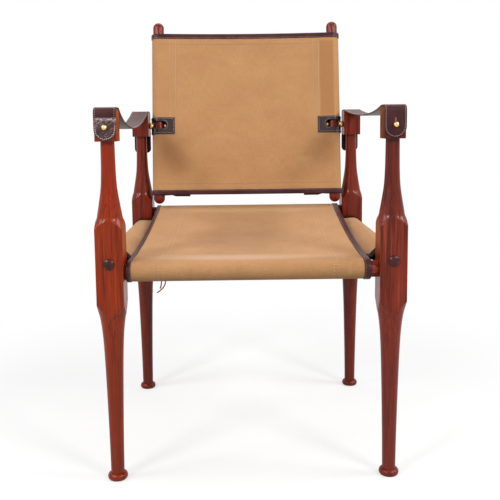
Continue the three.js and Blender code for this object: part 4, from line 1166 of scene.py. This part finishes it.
def strap_mesh(strap):
    stations = [0.00012, 0.0004, 0.001, 0.002, 0.0034, 0.0052, 0.0075, 0.0102, 0.0135, 0.0165]
    stations += [0.0193 + (strap.length - 0.0293) * k / 150 for k in range(151)]
    stations += [strap.length - d for d in (0.0085, 0.0068, 0.005, 0.0034, 0.002, 0.001, 0.0004, 0.0001)]
    thick = STRAP_THICK / 2
    top = [k / 6 for k in range(-6, 7)]
    count = 2 * len(top) + 4

    def place(i, j):
        s, j = stations[i], j % count
        half = strap.half_width(s)
        if j < len(top):
            return strap.at(s, (half - 0.0006) * top[j], thick - (0.0002 if abs(top[j]) == 1 else 0))
        if j in (len(top), len(top) + 1):
            return strap.at(s, half, thick * (0.45 if j == len(top) else -0.45))
        if j < 2 * len(top) + 2:
            share = top[2 * len(top) + 1 - j]
            return strap.at(s, (half - 0.0006) * share, -thick + (0.0002 if abs(share) == 1 else 0))
        return strap.at(s, -half, thick * (-0.45 if j == 2 * len(top) + 2 else 0.45))

    bm = grid_mesh(len(stations) - 1, count, place, lambda i, j: (stations[i], j * 0.003))
    bmesh.ops.remove_doubles(bm, verts=bm.verts, dist=2e-6)
    bmesh.ops.holes_fill(bm, edges=[e for e in bm.edges if e.is_boundary], sides=0)
    return bm


def strap_stitch_path(strap):
    """The places of the edge stitching on the flat strap, all the way round."""
    inset = 0.0027
    half, corner = STRAP_WIDTH / 2 - inset, STRAP_CORNER - inset
    path = arc_points(STRAP_WIDTH / 2, 0, half, math.pi / 2, 1.5 * math.pi, 40)
    end = strap.length - inset
    path += arc_points(end - corner, corner - half, corner, -math.pi / 2, 0, 12)
    path += arc_points(end - corner, half - corner, corner, 0, math.pi / 2, 12)
    return path + [path[0]]


def walk(path, pitch):
    """Evenly spaced (place, direction) pairs along a flat path."""
    points = [Vector(p) for p in path]
    total = Cloth.distances(points)
    count = round(total[-1] / pitch)
    out = []
    for k in range(count):
        here = (k + 0.5) / count * total[-1]
        i = max(n for n, d in enumerate(total) if d <= here)
        i = min(i, len(points) - 2)
        step = points[i + 1] - points[i]
        out.append((points[i] + step * ((here - total[i]) / step.length), step.normalized()))
    return out


def keyhole(bm, x, y):
    """The cutter of a stud hole with the slit above it, which runs through a strap's end."""
    hole_radius, slit_half, slit_top = 0.0025, 0.00045, 0.0113
    gap = math.asin(slit_half / hole_radius)
    rim = [(-slit_half, slit_top)]
    rim += arc_points(0, 0, hole_radius, math.pi / 2 + gap, math.pi / 2 + math.tau - gap, 28)
    rim.append((slit_half, slit_top))
    face = bm.faces.new([bm.verts.new((x + a, y - 0.006, STUD_HEIGHT + b)) for a, b in rim])
    moved = bmesh.ops.extrude_face_region(bm, geom=[face])["geom"]
    bmesh.ops.translate(bm, vec=(0, 0.012, 0), verts=[g for g in moved if isinstance(g, bmesh.types.BMVert)])


# Below this height the left strap's face is wrinkled and carries painted shade, painted glints and a painted
# highlight band.
WORN_AND_HIGHLIT_BELOW = 0.6525
pale_slit = (HALF_X, STUD_HEIGHT + 0.0045, STUD_HEIGHT + 0.0115)
arm_leathers = {
    "left": leather_material("worn arm leather", worn_and_highlit=WORN_AND_HIGHLIT_BELOW),
    "right": leather_material("smooth arm leather", slit=pale_slit),
}
for side_name, side in (("left", -1), ("right", 1)):
    strap = Strap(side * HALF_X, strap_sags[side_name])
    body = strap_mesh(strap)
    cuts = bmesh.new()
    keyhole(cuts, side * HALF_X, FRONT_Y - CAP_WIDTH / 2)
    keyhole(cuts, side * HALF_X, REAR_Y + CAP_WIDTH / 2)
    body = carve(body, cuts)
    make_piece(body, f"leather_arm_{side_name}", arm_leathers[side_name], "chair_frame",
               [f"arm_strap_{side_name}"], 40)
    bm = bmesh.new()
    for (s, v), direction in walk(strap_stitch_path(strap), EDGE_PITCH):
        _, forward, normal = strap.frame(s)
        lying = forward * direction.x + Vector((1, 0, 0)) * direction.y
        stitch(bm, strap.at(s, v, STRAP_THICK / 2), normal, lying.normalized(), 0.0025, 0.0014, 0.0005)
    make_piece(bm, f"arm_stitches_{side_name}", white_thread if side < 0 else grey_thread, "chair_frame", [])

# A brass collar stud is screwed into the outer face of each cap: a ball on a short neck, which the
# strap's slit is pushed over.
STUD_BALL, STUD_NECK = 0.0047, 0.0022


def brass_material():
    material, root, shader = new_material("polished brass", Specular_IOR_Level=0.5)
    place = root.node("TexCoord", output=3)
    tarnish = place.noise(170, 3)
    scratches = place.noise(1300, 2, 0.6, (1, 1, 0.3))
    colour = tarnish.between(0.35, 0.7).mix(paint(246, 206, 142), paint(212, 160, 92))
    feed(shader, Base_Color=colour, Metallic=0.96 + tarnish * 0.04, Roughness=0.2 + tarnish * 0.2,
         height=(scratches, 0.00002))
    return material


brass = brass_material()
neck_end = STRAP_THICK + 3 * FIT
turn = math.acos(STUD_NECK / STUD_BALL)
ball = [(STUD_BALL * math.cos(a), neck_end + STUD_BALL * (math.sin(turn) + math.sin(a)))
        for a in [-turn + (math.pi / 2 + turn) * k / 22 for k in range(23)]]
ball[-1] = (0, ball[-1][1])
stud_profile = [(0, -0.010), (0.0016, -0.010), (0.0016, FIT), (STUD_NECK, FIT)] + ball
for end_name, end, y in (("front", -1, FRONT_Y), ("back", 1, REAR_Y)):
    for side_name, side in (("left", -1), ("right", 1)):
        bm = bmesh.new()
        spin_profile(bm, stud_profile, 40,
                     pointing((side * HALF_X, y + end * CAP_WIDTH / 2, STUD_HEIGHT), (0, end, 0)))
        make_piece(bm, f"collar_stud_{end_name}_{side_name}", brass, "chair_frame",
                   [f"strap_stud_{end_name}_{side_name}"])

# The back swings between the rear legs. Its two round stiles are turned from darker wood with domed
# ends, and each is bored for the pivot bolt.
BACK_LEAN = math.radians(9.7)
STILE_RADIUS, STILE_ABOVE, STILE_BELOW, STILE_X = 0.0127, 0.2449, 0.1834, 0.205
on_back = Matrix.Translation((0, REAR_Y, PIVOT_HEIGHT)) @ Matrix.Rotation(-BACK_LEAN, 4, "X")
stile_wood = wood_material("stile wood", "Z", BACK_WOOD, 0.81)
for side_name, side in (("left", -1), ("right", 1)):
    profile = arc_points(0, STILE_RADIUS - STILE_BELOW, STILE_RADIUS, -math.pi / 2, 0, 14)
    profile += arc_points(0, STILE_ABOVE - STILE_RADIUS, STILE_RADIUS, 0, math.pi / 2, 14)
    profile[0], profile[-1] = (0, -STILE_BELOW), (0, STILE_ABOVE)
    bm = bmesh.new()
    spin_profile(bm, profile, 56, on_back @ Matrix.Translation((side * STILE_X, 0, 0)))
    cuts = bmesh.new()
    start = on_back @ Vector((side * STILE_X - 0.016, 0, 0))
    spin_profile(cuts, [(0, 0), (PIVOT_BORE, 0), (PIVOT_BORE, 0.032), (0, 0.032)], 24,
                 pointing(start, (1, 0, 0)))
    make_piece(carve(bm, cuts), f"turned_back_stile_{side_name}", stile_wood, "back",
               [f"back_stile_{side_name}"])

# The back's canvas has a sleeve down each side that slips over the stiles, with its flap sewn on
# behind. Leather binds its top and bottom, and two rows of stitches hold each sleeve above the pivot.
BACK_ABOVE, BACK_BELOW, BACK_BOW = 0.214, 0.162, 0.008
BACK_SEAM, BACK_FLAP = STILE_X - 0.030, STILE_X - 0.072
PATCH_HEIGHT, PATCH_DROP, PATCH_INSET, PATCH_LEATHER = 0.039, 0.002, 0.038, 0.0018
WINDOW_HEIGHT, WINDOW_INSET = 0.017, 0.019
PATCH_PITCH = 0.0034
sleeve_radius = (STILE_RADIUS + WRAP_EASE) / SLEEVE_EASE + CANVAS / 2


def back_depth(x):
    return sleeve_radius - BACK_BOW * (1 - (x / STILE_X) ** 2)


def flap_looseness(v):
    """0 down to the patch and 1 at the bottom, where the flap hangs free."""
    below = -v - PATCH_DROP - PATCH_HEIGHT / 2
    room = BACK_BELOW - PATCH_DROP - PATCH_HEIGHT / 2
    share = min(max(below / room, 0), 1)
    return share * share * (3 - 2 * share)


def back_outline(v):
    behind = flap_step + 0.009 * flap_looseness(v)
    panel = [(BACK_SEAM * k / 30, back_depth(BACK_SEAM * k / 30)) for k in range(30)]
    flap = [BACK_SEAM + (BACK_FLAP - BACK_SEAM) * k / 5 for k in range(1, 6)]
    flap = [(x, back_depth(x) - behind) for x in flap]
    half = sleeve(STILE_X, sleeve_radius, panel, (BACK_SEAM, back_depth(BACK_SEAM)),
                  (BACK_SEAM, back_depth(BACK_SEAM) - behind), flap, 24)
    drop = 0.003 * flap_looseness(v)
    whole = both_halves(half)
    return [on_back @ Vector((a, -b, v - (drop if min(n, len(whole) - 1 - n) < 5 else 0)))
            for n, (a, b) in enumerate(whole)]


window_half = WINDOW_HEIGHT / 2 + 0.001
heights = [-BACK_BELOW + (BACK_BELOW - window_half) * k / 26 for k in range(27)]
heights += [-window_half + 2 * window_half * k / 4 for k in range(1, 5)]
heights += [window_half + (BACK_ABOVE - window_half) * k / 34 for k in range(1, 35)]
columns = [back_outline(v) for v in heights]
back_cloth = Cloth([list(row) for row in zip(*columns)])
back_count = len(back_cloth.rows)
PANEL_FIRST_ROW = 31


def back_held(i, j):
    """The back's canvas is held on the stiles and its bound edges, and free between them."""
    inside = min(i, back_count - 1 - i) - PANEL_FIRST_ROW
    edge = min(j, len(heights) - 1 - j)
    return 1 if inside < 0 else max(0, 1 - inside / 4, 1 - edge / 5)


back_cloth = settle(back_cloth, back_held, 0.0006, 0.3, 0.0015, 0.0015, 11)
window_reach = STILE_X - WINDOW_INSET - 0.001


def cut_windows(bm):
    """Opens the sleeves at the pivots, a little wider than the windows in the patches."""
    lost = []
    for face in bm.faces:
        middle = on_back.inverted() @ face.calc_center_median()
        if abs(middle.z) < window_half and abs(middle.x) > window_reach:
            lost.append(face)
    bmesh.ops.delete(bm, geom=lost, context="FACES")


back_middle = back_cloth.along[-1] / 2
seam_places = [-0.178, -0.165, 0.160, 0.172]
hem_places = [0.1895, -0.1395]
SEAM_BOTTOM, SEAM_TOP = BACK_BELOW + 0.020, BACK_BELOW + BACK_ABOVE - 0.011
HEM_REACH = 0.205
back_seams = [("X", back_middle + x, SEAM_BOTTOM, SEAM_TOP) for x in seam_places]
back_seams += [("Y", BACK_BELOW + v, back_middle - HEM_REACH, back_middle + HEM_REACH) for v in hem_places]
dark_band = (back_middle + 0.1735, back_middle + 0.2085, BACK_BELOW + 0.016, BACK_BELOW + 0.2)
# Painted shadows: the lower corners below the patches are darkened where the arms and caps cast shade.
back_corner_shadows = [
    (back_middle - 0.182, 0.085, 0.075, 0.085, 0.32, "darkened"),
    (back_middle + 0.185, 0.095, 0.060, 0.070, 0.22, "darkened"),
]
hang_cloth("back_rest_canvas", back_cloth, "back", ["back_canvas"],
           cut_windows,
           canvas_material("seamed canvas", back_seams, band=dark_band, folds=3, spots=back_corner_shadows))
binding(back_cloth, True, 0.010, "back", "back_edge_top", ["back_binding_top"])
binding(back_cloth, False, 0.010, "back", "back_edge_bottom", ["back_binding_bottom"])

# A leather patch wraps each sleeve where the bolt goes through it, with a round-ended window that
# leaves room for the stile's nut and spacer. Stitches run round its edges and its window.


def patch_mesh(side):
    lift = (CANVAS + PATCH_LEATHER) / 2 + FIT
    reach = (sleeve_radius + CANVAS / 2 + WRAP_EASE) / SLEEVE_EASE + PATCH_LEATHER / 2
    inner = STILE_X - PATCH_INSET
    front = (inner, back_depth(inner) + lift)
    back = (inner, back_depth(inner) - flap_step - lift)
    line = sleeve(STILE_X, reach, [], front, back, [], 40)
    dense = []
    for a, b in zip(line, line[1:]):
        pieces = max(1, round(math.dist(a, b) / 0.002))
        dense += [(a[0] + (b[0] - a[0]) * n / pieces, a[1] + (b[1] - a[1]) * n / pieces)
                  for n in range(pieces)]
    dense.append(line[-1])
    if side < 0:
        dense = [(-a, b) for a, b in reversed(dense)]
    rows = [[on_back @ Vector((a, -b, -PATCH_DROP - PATCH_HEIGHT / 2 + PATCH_HEIGHT * k / 20))
             for k in range(21)] for a, b in dense]
    return Cloth(rows)


def window_cutter(side):
    bm = bmesh.new()
    half, inner = WINDOW_HEIGHT / 2, STILE_X - WINDOW_INSET + WINDOW_HEIGHT / 2
    rim = [(STILE_X + 0.03, -half), (STILE_X + 0.03, half)]
    rim += arc_points(inner, 0, half, math.pi / 2, 1.5 * math.pi, 16)
    floor_face = bm.faces.new([bm.verts.new((side * a, 0.04, b)) for a, b in rim])
    moved = bmesh.ops.extrude_face_region(bm, geom=[floor_face])["geom"]
    bmesh.ops.translate(bm, vec=(0, -0.08, 0), verts=[g for g in moved if isinstance(g, bmesh.types.BMVert)])
    bmesh.ops.transform(bm, matrix=on_back, verts=bm.verts)
    return bm


patch_leather = leather_material("creased patch leather", tint=0.6, wax=0.3, crease=9, polish=0.2)
for side_name, side in (("left", -1), ("right", 1)):
    patch = patch_mesh(side)
    bm = cloth_mesh(patch)
    bm.normal_update()
    bmesh.ops.solidify(bm, geom=bm.faces[:], thickness=PATCH_LEATHER)
    bmesh.ops.recalc_face_normals(bm, faces=bm.faces)
    rims = [e for e in bm.edges if e.calc_face_angle(0) > math.radians(60)]
    bmesh.ops.bevel(bm, geom=rims, offset=0.0008, offset_type="OFFSET", segments=3, profile=0.5,
                    affect="EDGES", material=-1, clamp_overlap=True)
    make_piece(carve(bm, window_cutter(side)), f"pivot_leather_{side_name}", patch_leather, "back",
               [f"pivot_patch_{side_name}"], 40)
    bm = bmesh.new()
    end, top = patch.along[-1], patch.across[-1]
    lift = PATCH_LEATHER / 2
    for high in (0.0028, top - 0.0028):
        sew(bm, patch, (0.003, high), (end - 0.003, high), PATCH_PITCH, lift, width=0.0011, proud=0.0004)
    for start in (0.003, end - 0.003):
        sew(bm, patch, (start, 0.005), (start, top - 0.005), PATCH_PITCH, lift, width=0.0011, proud=0.0004)
    opening = PATCH_INSET - WINDOW_INSET + WINDOW_HEIGHT / 2
    middle = PATCH_DROP + PATCH_HEIGHT / 2
    ring = arc_points(opening, middle, WINDOW_HEIGHT / 2 + 0.0026, math.pi / 2, 1.5 * math.pi, 24)
    for from_end in (False, True):
        run = [((end - a if from_end else a), b) for a, b in ring]
        for (a, b), direction in walk(run, PATCH_PITCH):
            point, normal, down, over = patch.spot(a, b)
            stitch(bm, point + normal * lift, normal, down * direction.x + over * direction.y, 0.0022, 0.0011)
    make_piece(bm, f"patch_stitches_{side_name}", grey_thread, "back", [])

# The pivots are turned brass: a countersunk bolt from outside the cap, a bellied spacer between the
# cap and the stile, and a domed nut inside the stile.
PIVOT_RADIUS, PIVOT_HEAD, PIVOT_HEAD_DEPTH = 0.003, 0.006, 0.003
NUT_ACROSS, NUT_LENGTH, NUT_DOME, SPACER_LENGTH = 0.010, 0.0035, 0.0025, 0.00995
half_cap = CAP_WIDTH / 2
pivot_length = HALF_X + half_cap - (STILE_X - STILE_RADIUS) + NUT_LENGTH
for side_name, side in (("left", -1), ("right", 1)):
    inward = (-side, 0, 0)
    bm = bmesh.new()
    screw = [(0, 0), (PIVOT_HEAD - 0.0003, 0), (PIVOT_HEAD, 0.0003), (PIVOT_RADIUS, PIVOT_HEAD_DEPTH),
             (PIVOT_RADIUS, pivot_length), (0, pivot_length)]
    spin_profile(bm, screw, 40, pointing((side * (HALF_X + half_cap), REAR_Y, PIVOT_HEIGHT), inward))
    cuts = bmesh.new()
    slot = Matrix.Translation((side * (HALF_X + half_cap), REAR_Y, PIVOT_HEIGHT))
    slot = slot @ Matrix.Rotation(math.radians(35), 4, "X")
    bmesh.ops.create_cube(cuts, size=1, matrix=slot @ Matrix.Diagonal((0.0022, 0.016, 0.0012, 1)))
    make_piece(carve(bm, cuts), f"pivot_screw_{side_name}", brass, "chair_frame",
               [f"pivot_bolt_{side_name}"])

    bm = bmesh.new()
    inner = PIVOT_RADIUS + FIT
    belly = [(0.0058 + 0.0022 * math.cos(a), SPACER_LENGTH * (1 + math.sin(a)) / 2)
             for a in [-math.pi / 2 + math.pi * k / 16 for k in range(17)]]
    spin_profile(bm, [(inner, 0), *belly, (inner, SPACER_LENGTH), (inner, 0)], 48,
                 pointing((side * (HALF_X - half_cap - FIT), REAR_Y, PIVOT_HEIGHT), inward))
    make_piece(bm, f"bellied_spacer_{side_name}", brass, "chair_frame",
               [f"pivot_spacer_{side_name}"])

    bm = bmesh.new()
    foot = pointing((side * (STILE_X - STILE_RADIUS - FIT), REAR_Y, PIVOT_HEIGHT), inward)
    corner = NUT_ACROSS / 2 / math.cos(math.pi / 6)
    spin_profile(bm, [(0, 0), (corner, 0), (corner, NUT_LENGTH), (0, NUT_LENGTH)], 6, foot)
    edges = [e for e in bm.edges if e.calc_face_angle(0) > math.radians(40)]
    bmesh.ops.bevel(bm, geom=edges, offset=0.0003, offset_type="OFFSET", segments=2, profile=0.5,
                    affect="EDGES", material=-1)
    crown = [(NUT_ACROSS / 2 * math.cos(a), NUT_LENGTH - 0.001 + (NUT_DOME + 0.001) * math.sin(a))
             for a in [math.pi / 2 * k / 10 for k in range(11)]]
    crown[-1] = (0, NUT_LENGTH + NUT_DOME)
    spin_profile(bm, [(0, NUT_LENGTH - 0.001), *crown], 40, foot)
    make_piece(bm, f"acorn_nut_{side_name}", brass, "chair_frame", [f"pivot_nut_{side_name}"])

# The rows of stitches on the canvas and its leather edges are waxed thread: tan on the canvas and
# grey on the leather. Each stitch is a bead of its own.
bm = bmesh.new()
for x in seam_places:
    sew(bm, back_cloth, (back_middle + x, SEAM_BOTTOM), (back_middle + x, SEAM_TOP),
        CANVAS_PITCH, CANVAS / 2, width=0.0019, proud=0.0006)
for v in hem_places:
    sew(bm, back_cloth, (back_middle - HEM_REACH, BACK_BELOW + v), (back_middle + HEM_REACH, BACK_BELOW + v),
        CANVAS_PITCH, CANVAS / 2, width=0.0009, proud=0.0003)
make_piece(bm, "back_canvas_stitches", tan_thread, "back", [])
bm = bmesh.new()
for v in (BACK_ABOVE - 0.0078, -BACK_BELOW + 0.0078):
    sew(bm, back_cloth, (0.01, BACK_BELOW + v), (back_cloth.along[-1] - 0.01, BACK_BELOW + v), EDGE_PITCH,
        CANVAS / 2 + LEATHER, width=0.0009, proud=0.0004)
make_piece(bm, "back_edge_stitches", grey_thread, "back", [])
bm = bmesh.new()
for across in seat_rows:
    sew(bm, seat_cloth, (0.02, across), (seat_cloth.along[-1] - 0.02, across), CANVAS_PITCH, CANVAS / 2,
        width=0.0011, proud=0.0003)
make_piece(bm, "seat_canvas_stitches", tan_thread, "chair_frame", [])
bm = bmesh.new()
for across in (0.0048, seat_cloth.across[-1] - 0.0085):
    sew(bm, seat_cloth, (0.01, across), (seat_cloth.along[-1] - 0.01, across), EDGE_PITCH,
        CANVAS / 2 + LEATHER, width=0.0008, proud=0.0004)
make_piece(bm, "seat_edge_stitches", grey_thread, "chair_frame", [])

# The studio is white: a floor that catches the chair's shadow, and a surround. Two soft boxes stand
# high in front of the chair, two wide strips at its sides and one lamp over it. Glossy and
# transmission rays see the same white floor and surround as the camera does.
floor_material, root, floor_shader = new_material("white floor", Roughness=0.9, Specular_IOR_Level=0.1)
floor_shader.inputs["Base Color"].default_value = (0.4, 0.4, 0.4, 1)
floor_shader.inputs["Emission Color"].default_value = (1, 1, 1, 1)
is_camera = root.node("LightPath")
is_glossy = Wire(root.tree, is_camera.socket.node.outputs["Is Glossy Ray"])
is_passing = Wire(root.tree, is_camera.socket.node.outputs["Is Transmission Ray"])
seen = is_camera.maths("MAXIMUM", is_camera.maths("MAXIMUM", is_camera, is_glossy), is_passing)
floor_shader.inputs["Emission Strength"].default_value = 0
root.tree.links.new((seen * 0.6).socket, floor_shader.inputs["Emission Strength"])
white = Wire(root.tree, root.tree.nodes.new("ShaderNodeEmission").outputs[0])
place = root.node("TexCoord", output=3)
away = place.node("VectorMath", {0: place}, output=1, operation="LENGTH")
blend = root.tree.nodes.new("ShaderNodeMixShader")
root.tree.links.new((away.between(0.55, 1.1) * seen).socket, blend.inputs[0])
root.tree.links.new(floor_shader.outputs[0], blend.inputs[1])
root.tree.links.new(white.socket, blend.inputs[2])
root.tree.links.new(blend.outputs[0], root.tree.nodes["Material Output"].inputs["Surface"])
bm = bmesh.new()
bmesh.ops.create_circle(bm, cap_ends=True, segments=96, radius=1.5)
floor_mesh = bpy.data.meshes.new("floor")
bm.to_mesh(floor_mesh)
bm.free()
floor_mesh.materials.append(floor_material)
floor = bpy.data.objects.new("floor", floor_mesh)
bpy.context.scene.collection.objects.link(floor)

FILL = 0.22
world = bpy.data.worlds.new("studio")
bpy.context.scene.world = world
world.use_nodes = True
root = Wire(world.node_tree)
is_camera = root.node("LightPath")
is_glossy = Wire(root.tree, is_camera.socket.node.outputs["Is Glossy Ray"])
is_passing = Wire(root.tree, is_camera.socket.node.outputs["Is Transmission Ray"])
seen = is_camera.maths("MAXIMUM", is_camera.maths("MAXIMUM", is_camera, is_glossy), is_passing)
strength = seen + (1 - seen) * FILL
background = world.node_tree.nodes["Background"]
background.inputs["Color"].default_value = (1, 1, 1, 1)
world.node_tree.links.new(strength.socket, background.inputs["Strength"])


def soft_box(name, place, target, width, height, power):
    light = bpy.data.lights.new(name, "AREA")
    light.shape = "RECTANGLE"
    light.size, light.size_y, light.energy = width, height, power
    made = bpy.data.objects.new(name, light)
    bpy.context.scene.collection.objects.link(made)
    aim = (Vector(target) - Vector(place)).to_track_quat("-Z", "Y").to_matrix().to_4x4()
    made.matrix_world = Matrix.Translation(place) @ aim


soft_box("left box", (-1.5, -1.8, 1.85), (0, 0, 0.45), 0.6, 0.8, 27.5)
soft_box("right box", (1.5, -1.8, 1.85), (0, 0, 0.45), 0.6, 0.8, 27.5)
soft_box("left strip", (-1.9, -0.6, 1.8), (0, -0.1, 0.5), 0.8, 1.5, 21)
soft_box("right strip", (1.9, -0.3, 1.8), (0, -0.1, 0.5), 0.8, 1.5, 27)
soft_box("top box", (0, 0.9, 2.2), (0, -0.1, 0.4), 1.6, 0.8, 10)
